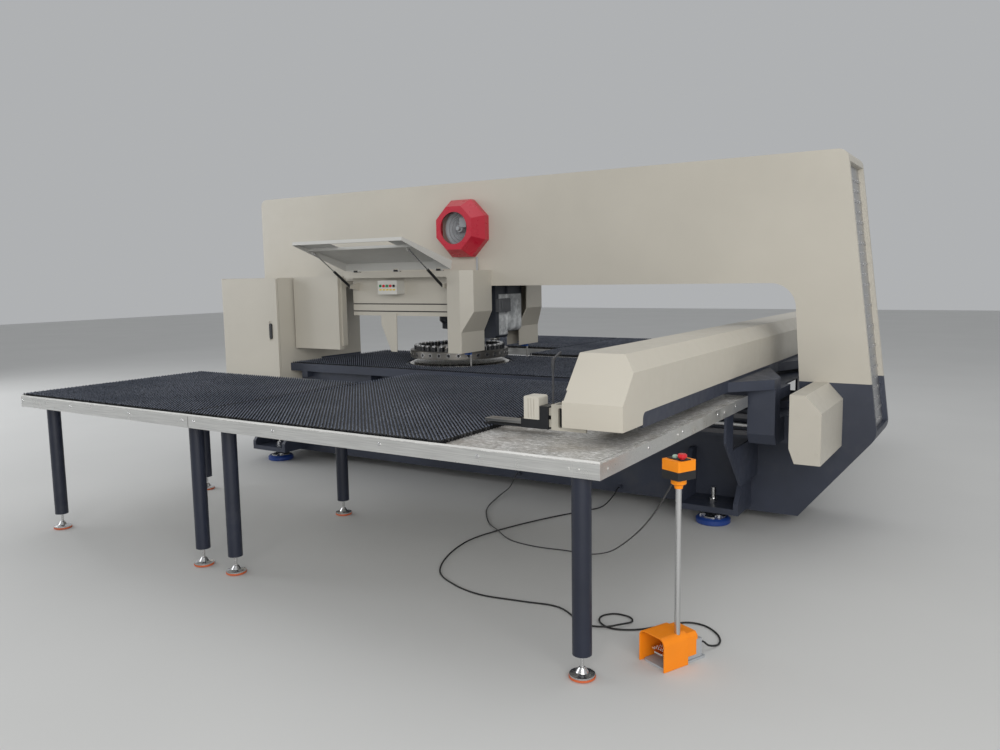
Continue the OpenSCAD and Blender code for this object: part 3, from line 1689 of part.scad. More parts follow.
module treadle() {
  half = treadle_w / 2;
  y0 = treadle_y - treadle_l;
  color([0.75, 0.75, 0.74])
    on_station()
      difference() {
        union() {
          difference() {
            translate([0, 0, treadle_z - treadle_t / 2])
              linear_extrude(treadle_t)
                rounded([[-half, y0 + 20], [-16, y0 + 20], [-4, y0], [half, y0],
                  [half, treadle_y + 8], [-half, treadle_y + 8]], [6, 0, 6, 10, 0, 0]);
            translate([pole_at[0], pole_at[1], 0])
              cylinder(d = pole_d + 10, h = 200);
          }
          for (row = [0:5])
            for (col = [-3:2])
              translate([col * 11 + 5 + (row % 2) * 4, y0 + 26 + row * 8, treadle_z + treadle_t / 2 - 1])
                cylinder(d = 5, h = 2.5);
          translate([-half, treadle_y, treadle_z])
            rod_x(d = 16, h = 40);
        }
        translate([-half - 1, treadle_y, treadle_z])
          rod_x(d = axle_d + 2 * run_gap, h = treadle_w + 2);
      }
}

// Places its children on top of pole
module on_pole() {
  on_station()
    translate([pole_at[0], pole_at[1], 0])
      children();
}

module head_block(z0, z1, r) {
  x = head[0] / 2;
  y = head[1] / 2;
  translate([0, 0, z0])
    linear_extrude(z1 - z0)
      rounded([[-x, -y], [x, -y], [x, y], [-x, y]], [r, r, r, r]);
}

head_mid = head_z0 + head[2] * 0.45;
head_top_z = head_z0 + head[2];
button_bore = 22;
button_at = [[-20, 0], [18, 0]];
module head_lower() {
  color(black)
    on_pole()
      head_block(head_z0, head_mid, 4);
}

module head_upper() {
  funnel_r = 30;
  color(orange)
    on_pole()
      difference() {
        union() {
          head_block(head_mid, head_top_z, 5);
          translate([0, 0, pole_top])
            rotate_extrude()
              polygon([[0, 0], [pole_d / 2 + 4, 0], [pole_d / 2 + 6, 12], [funnel_r, 20],
                [funnel_r, head_z0 - pole_top], [0, head_z0 - pole_top]]);
          translate([0, 0, head_top_z - 1])
            linear_extrude(4)
              rounded([[-42, -26], [42, -26], [42, 26], [-42, 26]], [8, 8, 8, 8]);
        }
        translate([0, 0, pole_top - 1])
          cylinder(d = pole_d + 0.04, h = 31);
        for (at = button_at)
          translate([at[0], at[1], head_mid + 6])
            cylinder(d = button_bore + 2 * run_gap, h = 60);
      }
}

module head_button(at, cap_d, cap_z0, cap_h) {
  stem_z0 = head_mid + 7 + head_travel;
  on_pole()
    translate([at[0], at[1], 0]) {
      translate([0, 0, stem_z0])
        cylinder(d = button_bore, h = cap_z0 - stem_z0 + 1);
      translate([0, 0, cap_z0])
        rotate_extrude()
          polygon([[0, 0], [cap_d / 2 - 1, 0], [cap_d / 2, 2], [cap_d / 2, cap_h - 4],
            [cap_d / 2 - 4, cap_h], [0, cap_h]]);
    }
}

module start_button() {
  color([0.55, 0.75, 0.60])
    head_button(button_at[0], button_bore, head_top_z + 4, 9);
}

module stop_button() {
  color([0.80, 0.12, 0.10])
    head_button(button_at[1], stop_d, head_top_z + 3 + head_travel + 1, 14);
}

// Cables

// Foot switch's cable, from cast base to gland on frame
pedal_route = [[2088.3, -2178.7, 42], [2099.7, -2154.2, 41.5], [2116, -2128.7, 18], [2136, -2085, 6],
  [2134, -2035, 5], [2100, -1975, 5], [2035, -1925, 5], [1960, -1925, 5], [1895, -1985, 5],
  [1800, -2100, 5], [1700, -2150, 5], [1625, -2120, 5], [1600, -2055, 5], [1640, -2000, 5],
  [1710, -2000, 5], [1745, -2050, 9], [1720, -2110, 15], [1660, -2165, 11], [1560, -2165, 5],
  [1385, -2060, 5], [1200, -2085, 5], [985, -2115, 5], [800, -2070, 5], [630, -1960, 5],
  [515, -1725, 5], [470, -1450, 5], [520, -1200, 5], [600, -970, 5], [690, -765, 5],
  [790, -580, 6], [850, -450, 10], [882, -355, 60], [894, -305, 103], [895, -276, 105]];

// Head's cable, from its funnel to other gland
head_route = [[2042, -2286, 749.2], [2020, -2268, 738], [1962, -2190, 666], [1829, -2000, 505],
  [1677, -1800, 347], [1500, -1600, 190], [1350, -1450, 80], [1200, -1370, 20], [1050, -1340, 6],
  [864, -1360, 4], [675, -1330, 5], [514, -1222, 13], [375, -1100, 5], [200, -850, 5], [110, -560, 9],
  [100, -400, 35], [100, -308, 103], [100, -276, 105]];

// Smooth curve through points of a route
function curve(a, b, c, d, t) = (2 * b + (c - a) * t + (2 * a - 5 * b + 4 * c - d) * t * t
  + (3 * b - a - 3 * c + d) * t * t * t) / 2;
function smooth(p, n) = [for (i = [0:len(p) - 2], k = [0:n - 1])
    curve(p[max(i - 1, 0)], p[i], p[i + 1], p[min(i + 2, len(p) - 1)], k / n), p[len(p) - 1]];
function heading(p, i) = unit(p[min(i + 1, len(p) - 1)] - p[max(i - 1, 0)]);

// Round tube along points, closed at both ends
module tube(p, d, sides) {
  n = len(p);
  ring = [for (i = [0:n - 1])
    let (h = heading(p, i), u = unit(cross(h, [0.01, 0.02, 1])), w = cross(u, h))
      each [for (k = [0:sides - 1])
        p[i] + d / 2 * (u * cos(k * 360 / sides) + w * sin(k * 360 / sides))]];
  faces = [[for (k = [sides - 1:-1:0]) k],
    for (i = [0:n - 2], k = [0:sides - 1])
      each [[i * sides + k, i * sides + (k + 1) % sides, (i + 1) * sides + (k + 1) % sides],
        [i * sides + k, (i + 1) * sides + (k + 1) % sides, (i + 1) * sides + k]],
    [for (k = [0:sides - 1]) (n - 1) * sides + k]];
  polyhedron(ring, faces);
}

module pedal_cable() {
  color([0.10, 0.10, 0.10])
    tube(smooth(pedal_route, 3), pedal_cord_d, 8);
}

module head_cable() {
  color([0.28, 0.28, 0.28])
    tube(smooth(head_route, 3), head_cord_d, 8);
}

// Drawing
frame_bridge();
frame_base();
end_panel();
machine_pads();
levelling_studs();
ram_cover();
ram_drive();
turret_castings();
ram();
upper_turret();
punch_holders();
punch_heads();
lower_turret();
side_covers();
turret_shrouds();
cross_panels();
sheet_sensors();
button_box();
push_button_1();
push_button_2();
push_button_3();
push_button_4();
push_button_5();
lid();
lid_hinges();
strut_cylinder_left();
strut_cylinder_right();
strut_rod_left();
strut_rod_right();
cabinet_body();
cabinet_door();
cabinet_handle();
side_tables();
centre_table();
brush_mats();
table_legs();
leg_pads();
base_brackets();
drive_rails();
drive_screw();
drive_cover();
beam();
beam_cover();
clamp_carriage();
clamp_brackets();
clamp_bodies();
clamp_caps();
upper_jaw_1();
upper_jaw_2();
upper_jaw_3();
station_pole();
pedal_base();
pedal_guard();
treadle();
head_lower();
head_upper();
start_button();
stop_button();
pedal_cable();
head_cable();
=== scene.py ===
# Looks of the turret punch press: materials, bristles, cables, light and the photograph's camera.
import json
import math
import random

import bpy
from mathutils import Matrix, Vector


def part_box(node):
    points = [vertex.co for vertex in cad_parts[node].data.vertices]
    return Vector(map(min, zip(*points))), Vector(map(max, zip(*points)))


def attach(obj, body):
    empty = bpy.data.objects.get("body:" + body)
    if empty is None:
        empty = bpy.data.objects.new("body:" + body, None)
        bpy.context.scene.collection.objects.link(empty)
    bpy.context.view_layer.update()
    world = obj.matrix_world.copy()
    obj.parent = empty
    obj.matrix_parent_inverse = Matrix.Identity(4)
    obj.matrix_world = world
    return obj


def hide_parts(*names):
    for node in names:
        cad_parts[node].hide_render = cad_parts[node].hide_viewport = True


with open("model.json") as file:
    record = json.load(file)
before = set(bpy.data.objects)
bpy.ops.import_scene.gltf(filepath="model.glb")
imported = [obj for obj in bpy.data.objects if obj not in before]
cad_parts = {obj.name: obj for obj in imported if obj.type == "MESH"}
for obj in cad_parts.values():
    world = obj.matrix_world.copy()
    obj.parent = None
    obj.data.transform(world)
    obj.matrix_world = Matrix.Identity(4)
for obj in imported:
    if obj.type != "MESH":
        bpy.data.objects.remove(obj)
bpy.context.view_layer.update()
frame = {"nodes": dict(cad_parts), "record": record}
NODES = frame["nodes"]

# Sizes, in metres
TABLES_LOW, TABLES_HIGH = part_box("side_tables")
CENTRE_LOW, CENTRE_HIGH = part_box("centre_table")
DECK_Z = TABLES_HIGH.z
JOINT_X = -0.410         # joint between the narrow and the wide side table
NARROW_Y = 1.350         # inner edge of the narrow side tables
WIDE_Y = 0.770           # inner edge of the wide side tables

# Bristles
PASS_Z = 0.878           # height of the bristle tips
TUFT_PITCH = 0.021       # distance between tufts of one row
ROW_PITCH = 0.0117       # distance between rows, each half a pitch along
TUFT_R = 0.0043          # radius of a tuft's tip
TUFT_FOOT = 0.8          # a tuft's foot has this share of its tip's radius
TUFT_SINK = 0.002        # an inner tuft's foot lies this far down in the bed
FIRST_TUFT = 0.3         # pitches from the field's edge to the first tuft
WEAR = 0.0007            # spread of the tips' lean and height
TUFT_SIDES = 3
TUFT_STEP = 2.0944       # angle from one corner of a tuft to the next
TUFT_TURN = 2.1          # tufts are turned at random by up to this angle
BED_DROP = 0.010         # depth below the tips where the bristles close up
BED_INSET = TUFT_PITCH * 0.7   # the bed stops this far inside the field
OUTER_TUFTS = 1.5        # tufts within this many insets of the edge reach down to the deck
BED_STRIPS = 60          # strips of a bed with a round hole
FIELD_RIM = 0.010        # plain rim round each brush field
FIELD_GAP = 0.004        # half the gap between two fields at the tables' joint
BARE = 0.710             # bare margin of the wide tables
CENTRE_BRUSH_X1 = 1.500  # end of the centre table's brush field

# Turret's upper disc
TURRET = (-0.590, 0.0)   # middle of the turret
CUTOUT_R = 0.416         # bristle-free circle round the lower disc
STATIONS = 32
DISC_R, DISC_MID_Z = 0.383, 0.9495
HOLE_SIDES = 16
HOLE_R, BUSH_R = 0.0108, 0.0155
BUSH_IN, BUSH_OUT = -0.004, 0.0008      # from the disc's rim
# Black discs set into the rim holes as painted shade of the holes' depth
SHADE_DISC_IN, SHADE_DISC_OUT, SHADE_DISC_GAP = -0.012, -0.006, 0.0004

# Guard and button box
PANEL_Y = 0.450          # outer face of the cross panels
LAPS_Z = (1.278, 1.333)
LAP_SHADE_Z = (0.0008, 0.0082)      # painted shade in a lap: a black line over the lap's lower edge
LAP_SHADE_END, LAP_SHADE_HALF = 0.001, 0.0006
BUTTONS, BUTTON_PITCH = 5, 0.032
LABEL_UP, LABEL_SIZE = 0.034, (0.022, 0.011)
VALVE_LOW, VALVE_HIGH, VALVE_CUT = (-0.1800, -0.112, 1.268), (-0.1380, 0.045, 1.366), 0.004
ENTRY_LOW, ENTRY_HIGH, ENTRY_CUT = (-0.1385, -0.085, 1.288), (-0.1325, 0.018, 1.346), 0.002

# Lid, in its hinge's frame, where the closed lid hangs straight down
LID_HINGE = (0, -0.547, 1.585)
LID_OPEN = math.radians(105)
LID_LENGTH = 0.570
LID_DEPTH, LID_EDGE = 0.064, 0.026      # flange at the hinge and at the free edge
FLANGE_Y, FLANGE_NEAR, HINGE_NEAR = -0.002, 0.0003, 0.0005

# Clamp brackets
CLAMPS, CLAMP_Y0, CLAMP_PITCH = 3, -2.232, 0.8
SLOT_IN, SLOT_Z, SLOT_SIZE = 0.058, 0.934, (0.026, 0.094)
SLOT_BACK = -0.0204      # the slot's back, from the middle of its clamp

# Table rims
BOLT_HEAD = 0.003        # the rim's own bolts stand this far out of it
RIM_X, RIM_Y = TABLES_HIGH.x - BOLT_HEAD, TABLES_HIGH.y - BOLT_HEAD
SCREW_R, SCREW_H, SCREW_UP = 0.009, 0.0028, 0.036
FRONT_SCREWS_X = (-1.95, -1.45, -0.90, -0.455, -0.365, 0.20, 0.85, 1.35)
RIGHT_SCREWS_Y = (-2.2, -1.8, -1.3, -1.0)
LIP_H, LIP_T, LIP_SINK = 0.009, 0.003, 0.0005
LIP_END, LIP_PAST = 0.001, 0.002

# Bounds of a node's second colour, in its own coordinates
SENSOR_ROD_Z = (0.9735, 0.9740)
BRACKET_POST_Z = (0.9915, 0.9920)
GUIDE_Z0, GUIDE_Z1, GUIDE_Y = (1.09, 1.10), (1.395, 1.40), (-0.065, -0.062)
HEAD_PLATE_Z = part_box("head_upper")[1].z - 0.0028
HEAD_PLATE_SOFT = 0.0002
# Heights over which the bristles go from painted shade, nearly black, to the tips' own colour
SHADE_TO_TIP_Z = (PASS_Z - 0.0040, PASS_Z - 0.0008)
FILM_Z = (DECK_Z - 0.002, DECK_Z - 0.0005)

# Thin plates and screw heads
PLATE_LIFT, BACK_LIFT = 0.0008, 0.0006  # a label and a slot's back stand out by this
PLATE_SINK = 0.0008
PLATE_CORNER = 0.2       # corner radius, as a share of half the plate's shorter side
CORNER_STEPS = 4
DOME_RINGS, DOME_SIDES = 3, 14
DOME_SHARE = 0.93        # share of a quarter circle, which leaves the head a small flat top


# Materials
class Surface:
    """A node material that is built up step by step, in real-scale object coordinates."""

    def __init__(self, name, rough=0.5, metal=0.0, coat=0.0):
        self.mat = bpy.data.materials.new(name)
        self.mat.use_nodes = True
        self.nodes = self.mat.node_tree.nodes
        self.links = self.mat.node_tree.links
        self.shader = self.nodes["Principled BSDF"]
        self.preset("Roughness", rough)
        self.preset("Metallic", metal)
        self.preset("Coat Weight", coat)
        self.coords = self.nodes.new("ShaderNodeTexCoord").outputs["Object"]
        self.height = None

    def preset(self, socket, value):
        """Sets one of the shader's own sockets to a uniform value."""
        self.shader.inputs[socket].default_value = value

    def link(self, a, b):
        self.links.new(a, b)

    def stretched(self, scale):
        """The object's coordinates, scaled differently along X, Y and Z."""
        m = self.nodes.new("ShaderNodeMapping")
        m.inputs["Scale"].default_value = scale
        self.link(self.coords, m.inputs["Vector"])
        return m.outputs["Vector"]

    def noise(self, scale, detail=3.0, stretch=None, rough=0.5):
        n = self.nodes.new("ShaderNodeTexNoise")
        n.inputs["Scale"].default_value = scale
        n.inputs["Detail"].default_value = detail
        n.inputs["Roughness"].default_value = rough
        self.link(self.stretched(stretch) if stretch else self.coords, n.inputs["Vector"])
        return n.outputs["Fac"]

    def ramp(self, value, low=0.3, high=0.7, a=0.0, b=1.0):
        """value from low to high, mapped to a to b and held there. Noise is mostly 0.3 to 0.7."""
        r = self.nodes.new("ShaderNodeMapRange")
        r.inputs["From Min"].default_value = low
        r.inputs["From Max"].default_value = high
        r.inputs["To Min"].default_value = a
        r.inputs["To Max"].default_value = b
        self.link(value, r.inputs["Value"])
        return r.outputs["Result"]

    def axis(self, which):
        s = self.nodes.new("ShaderNodeSeparateXYZ")
        self.link(self.coords, s.inputs["Vector"])
        return s.outputs[which]

    def times(self, a, b):
        m = self.nodes.new("ShaderNodeMath")
        m.operation = "MULTIPLY"
        self.link(a, m.inputs[0])
        self.link(b, m.inputs[1])
        return m.outputs["Value"]

    def mix(self, factor, a, b):
        """Colour a where factor is 0 and b where it is 1. a and b are colours or sockets."""
        m = self.nodes.new("ShaderNodeMix")
        m.data_type = "RGBA"
        for key, v in (("A", a), ("B", b)):
            socket = [s for s in m.inputs if s.name == key and s.type == "RGBA"][0]
            if isinstance(v, tuple):
                socket.default_value = (*v, 1)
            else:
                self.link(v, socket)
        self.link(factor, m.inputs["Factor"])
        return [s for s in m.outputs if s.type == "RGBA"][0]

    def blotches(self, scale, detail, a, b):
        """Colours a and b in soft patches."""
        return self.mix(self.ramp(self.noise(scale, detail)), a, b)

    def colour(self, socket):
        self.link(socket, self.shader.inputs["Base Color"])
        return self

    def metallic(self, socket):
        self.link(socket, self.shader.inputs["Metallic"])
        return self

    def roughness(self, value, low, high):
        """Roughness that follows a noise, from low to high."""
        self.link(self.ramp(value, a=low, b=high), self.shader.inputs["Roughness"])
        return self

    def bump(self, height, distance, strength=0.4):
        b = self.nodes.new("ShaderNodeBump")
        b.inputs["Distance"].default_value = distance
        b.inputs["Strength"].default_value = strength
        self.link(height, b.inputs["Height"])
        if self.height:
            self.link(self.height, b.inputs["Normal"])
        self.height = b.outputs["Normal"]
        self.link(self.height, self.shader.inputs["Normal"])
        return self


def tint(c, k):
    return tuple(min(1.0, v * k) for v in c)


def paint(name, base, rough=0.42, mottle=0.05, grime=(0.35, 0.32, 0.28), grime_amount=0.12,
          coat=0.0):
    """Sprayed paint: slight orange peel, a faint uneven tone and soft dirt."""
    s = Surface(name, rough, coat=coat)
    tone = s.ramp(s.noise(2.2, 4), 0.35, 0.68)
    body = s.mix(tone, tint(base, 1 - mottle), tint(base, 1 + mottle))
    patches = s.times(s.noise(7.0, 6, rough=0.65), s.noise(1.3, 3))
    s.colour(s.mix(s.ramp(patches, 0.30, 0.52, 0.0, grime_amount), body, grime))
    s.roughness(s.noise(18, 4), rough - 0.06, rough + 0.08)
    return s.bump(s.noise(420, 2), 0.0003, 0.25)


def metal(name, base, rough=0.32, grain=(4, 300, 300), marks=0.2):
    """Machined or brushed steel, with its grain along one axis."""
    s = Surface(name, rough, metal=1.0)
    lines = s.noise(1.0, 3, stretch=grain)
    stain = s.ramp(s.noise(6, 5, rough=0.6), 0.42, 0.75, 0.0, marks)
    brushed = s.mix(s.ramp(lines), tint(base, 0.86), tint(base, 1.08))
    s.colour(s.mix(stain, brushed, tint(base, 0.45)))
    s.roughness(lines, rough - 0.07, rough + 0.12)
    return s.bump(lines, 0.0002, 0.25)


def plastic(name, base, rough=0.45, grain=900):
    s = Surface(name, rough)
    s.colour(s.blotches(5, 4, tint(base, 0.93), tint(base, 1.06)))
    s.roughness(s.noise(30, 3), rough - 0.05, rough + 0.1)
    return s.bump(s.noise(grain, 2), 0.0002, 0.2)


cream_paint = paint("cream_paint", (0.53, 0.50, 0.435), mottle=0.025, grime_amount=0.05)
cover_paint = paint("cover_paint", (0.575, 0.54, 0.465), rough=0.38, mottle=0.02,
                    grime_amount=0.04)
lid_paint = paint("lid_paint", (0.56, 0.555, 0.53), rough=0.4, mottle=0.02, grime_amount=0.04)
dark_paint = paint("dark_paint", (0.036, 0.043, 0.066), rough=0.45, mottle=0.18,
                   grime=(0.10, 0.10, 0.10), grime_amount=0.35)
crimson = paint("crimson_paint", (0.50, 0.012, 0.035), rough=0.3, mottle=0.06,
                grime_amount=0.04, coat=0.3)
navy = paint("leg_navy", (0.012, 0.016, 0.032), rough=0.4, mottle=0.15,
             grime=(0.12, 0.12, 0.12), grime_amount=0.2)
pad_blue = paint("pad_blue", (0.015, 0.05, 0.24), rough=0.4, grime=(0.25, 0.25, 0.25),
                 grime_amount=0.5)
casting = paint("grey_casting", (0.36, 0.38, 0.40), rough=0.5, mottle=0.2, grime_amount=0.3)
valve_grey = paint("valve_grey", (0.10, 0.105, 0.115), rough=0.5, mottle=0.15,
                   grime_amount=0.1)
steel = metal("machined_steel", (0.42, 0.42, 0.41))
bright = metal("bright_steel", (0.70, 0.70, 0.70), rough=0.2, marks=0.1)
chrome = metal("chrome", (0.66, 0.66, 0.66), rough=0.16, grain=(260, 260, 2), marks=0.05)
rail_steel = metal("rail_steel", (0.13, 0.13, 0.14), rough=0.38, grain=(3, 260, 260))
disc_steel = metal("disc_steel", (0.62, 0.60, 0.56), rough=0.24, grain=(140, 140, 6),
                   marks=0.15)
rim_steel = metal("rim_steel", (0.30, 0.285, 0.265), rough=0.34, grain=(5, 5, 240), marks=0.45)
clamp_cream = paint("clamp_cream", (0.60, 0.57, 0.50), rough=0.45, mottle=0.08)
label_yellow = plastic("label_yellow", (0.72, 0.52, 0.06), rough=0.5)
# The lips are real steel; their near-white, mostly non-metallic tone is a painted highlight along
# them.
sheen_lip_steel = metal("sheen_lip_steel", (0.80, 0.80, 0.78), rough=0.22, grain=(4, 260, 260), marks=0.05)
sheen_lip_steel.preset("Metallic", 0.25)
# Black for painted shade, in the panels' laps and at the backs of the brackets' slots
shade_black = plastic("shade_black", (0.015, 0.015, 0.017), rough=0.7)
black_steel = paint("black_steel", (0.012, 0.013, 0.016), rough=0.38, mottle=0.2)
black_plastic = plastic("black_plastic", (0.012, 0.012, 0.013))
orange = plastic("orange_plastic", (0.93, 0.265, 0.010), rough=0.42)
orange.preset("Specular IOR Level", 0.25)
box_plastic = plastic("box_plastic", (0.62, 0.61, 0.57))
green_button = plastic("button_green", (0.01, 0.22, 0.07), rough=0.25)
red_button = plastic("button_red", (0.62, 0.012, 0.02), rough=0.25)
black_button = plastic("button_black", (0.01, 0.01, 0.012), rough=0.25)
start_green = plastic("start_green", (0.40, 0.55, 0.46), rough=0.3)
ring_orange = plastic("ring_orange", (0.60, 0.12, 0.035), rough=0.6)
cable_black = plastic("cable_black", (0.010, 0.010, 0.011), rough=0.5, grain=1500)
cable_grey = plastic("cable_grey", (0.06, 0.06, 0.062), rough=0.5, grain=1500)


def table_steel():
    """Stainless rim with brushed grain; the bare deck carries wrinkled film, with painted
    highlights and painted shade for its glossy sheen, and a brown stain.
    """
    s = Surface("table_steel", 0.3, metal=0.8)
    grain = s.noise(1.0, 3, stretch=(6, 260, 260))
    clean = s.mix(s.ramp(grain), (0.56, 0.56, 0.55), (0.72, 0.72, 0.70))
    deck = s.ramp(s.axis("Z"), *FILM_Z)
    film_and_sheen = s.ramp(s.noise(40, 7, stretch=(1, 2.6, 1), rough=0.8), 0.47, 0.60)
    stain = s.ramp(s.noise(5, 5, rough=0.6), 0.45, 0.68, 0.0, 0.6)
    # The film's tone runs from dark grey to near white along its wrinkles: painted highlights and
    # painted shade of its sheen.
    top = s.mix(film_and_sheen, (0.40, 0.39, 0.37), (0.95, 0.94, 0.92))
    s.colour(s.mix(deck, clean, s.mix(stain, top, (0.28, 0.24, 0.19))))
    s.metallic(s.ramp(deck, 0.0, 1.0, 0.80, 0.30))
    s.roughness(s.noise(14, 5), 0.26, 0.48)
    s.bump(grain, 0.0002, 0.2)
    return s.bump(s.times(film_and_sheen, deck), 0.0015, 0.45)


def ribbed_panel():
    s = Surface("ribbed_panel", 0.35, metal=1.0)
    grain = s.noise(1.0, 3, stretch=(200, 200, 5))
    s.colour(s.mix(s.ramp(grain), (0.40, 0.40, 0.41), (0.58, 0.58, 0.58)))
    return s.bump(grain, 0.0002, 0.3)


def sensor_body():
    """Blue feeler block, with a bare steel rod below it."""
    s = Surface("sensor_blue", 0.35)
    rod = s.ramp(s.axis("Z"), *SENSOR_ROD_Z, 1.0, 0.0)
    blue = s.blotches(9, 3, (0.012, 0.06, 0.26), (0.02, 0.09, 0.36))
    bare = s.blotches(60, 3, (0.34, 0.34, 0.34), (0.5, 0.49, 0.47))
    s.colour(s.mix(rod, blue, bare)).metallic(rod)
    return s.bump(s.noise(700, 2), 0.0002, 0.2)


def bracket_paint():
    """Cream bracket whose post, which stands above it, is dark steel."""
    s = Surface("clamp_cream", 0.45)
    post = s.ramp(s.axis("Z"), *BRACKET_POST_Z)
    cream = s.mix(s.ramp(s.noise(9, 5), 0.35), (0.50, 0.47, 0.40), (0.58, 0.55, 0.47))
    dark = s.blotches(40, 3, (0.02, 0.022, 0.026), (0.05, 0.05, 0.055))
    s.colour(s.mix(post, cream, dark))
    s.roughness(s.noise(25, 4), 0.36, 0.55)
    return s.bump(s.noise(420, 2), 0.0003, 0.25)


def head_shell():
    """Orange upper shell of the button head, with the black plate that lies on its top."""
    s = Surface("head_shell", 0.42)
    s.preset("Specular IOR Level", 0.25)
    top = s.ramp(s.axis("Z"), HEAD_PLATE_Z - HEAD_PLATE_SOFT, HEAD_PLATE_Z + HEAD_PLATE_SOFT)
    body = s.blotches(5, 4, (0.88, 0.265, 0.006), (0.96, 0.29, 0.010))
    black = s.blotches(40, 3, (0.010, 0.010, 0.011), (0.02, 0.02, 0.021))
    s.colour(s.mix(top, body, black))
    s.roughness(s.noise(30, 3), 0.38, 0.5)
    return s.bump(s.noise(900, 2), 0.0002, 0.2)


def cast_guide():
    """Ram guide and bearing castings: dark, with mottled pale paint on the guide."""
    s = Surface("cast_guide", 0.5)
    mottle = s.ramp(s.noise(16, 6, rough=0.7), 0.40, 0.62)
    pale = s.mix(mottle, (0.33, 0.345, 0.36), (0.66, 0.68, 0.69))
    up = s.axis("Z")
    height = s.times(s.ramp(up, *GUIDE_Z0), s.ramp(up, *GUIDE_Z1, 1.0, 0.0))
    painted = s.times(height, s.ramp(s.axis("Y"), *GUIDE_Y))
    s.colour(s.mix(painted, (0.030, 0.035, 0.048), pale))
    return s.bump(s.noise(90, 5), 0.0012, 0.4)


def bristle():
    """Nylon bristles: dusty grey-blue tips, a few pale specks, and below the tips painted shade,
    nearly black, between the tufts.
    """
    s = Surface("bristles", 0.5)
    dust = s.ramp(s.noise(2.6, 5, rough=0.6), 0.35, 0.75)
    speck = s.ramp(s.noise(160, 1), 0.80, 0.82, 0.0, 0.8)
    tip = s.mix(dust, (0.115, 0.135, 0.185), (0.215, 0.238, 0.300))
    dusty = s.mix(speck, tip, (0.40, 0.40, 0.40))
    # Painted shade: below the tips the bristles are nearly black, for the shade between the tufts.
    s.colour(s.mix(s.ramp(s.axis("Z"), *SHADE_TO_TIP_Z), (0.003, 0.0035, 0.005), dusty))
    return s.bump(s.noise(1500, 2), 0.0004, 0.4)


materials = {
    "cream_paint": cream_paint, "dark_paint": dark_paint, "ribbed_panel": ribbed_panel(),
    "pad_blue": pad_blue, "bright_steel": bright, "crimson_paint": crimson,
    "machined_steel": steel, "grey_casting": casting, "black_steel": black_steel,
    "sensor_blue": sensor_body(), "box_plastic": box_plastic, "button_green": green_button,
    "button_red": red_button, "button_black": black_button, "bristles": bristle(),
    "table_steel": table_steel(), "leg_navy": navy, "ring_orange": ring_orange,
    "orange_plastic": orange, "black_plastic": black_plastic, "start_green": start_green,
    "cable_black": cable_black, "cable_grey": cable_grey, "clamp_cream": clamp_cream,
}
own_material = {
    "beam_cover": cover_paint, "drive_cover": cream_paint, "lid": lid_paint,
    "clamp_brackets": bracket_paint(), "station_pole": chrome, "head_upper": head_shell(),
    "turret_castings": cast_guide(), "drive_rails": rail_steel, "lower_turret": disc_steel,
    "upper_turret": rim_steel,
}


def dress(obj, surface):
    obj.data.materials.clear()
    obj.data.materials.append(surface.mat)


for part in frame["record"]["subparts"]:
    name = part["node"]
    dress(NODES[name], own_material.get(name, materials[part["material_slot"]]))


# Building of meshes
def add_object(name, data):
    obj = bpy.data.objects.new(name, data)
    bpy.context.scene.collection.objects.link(obj)
    return obj


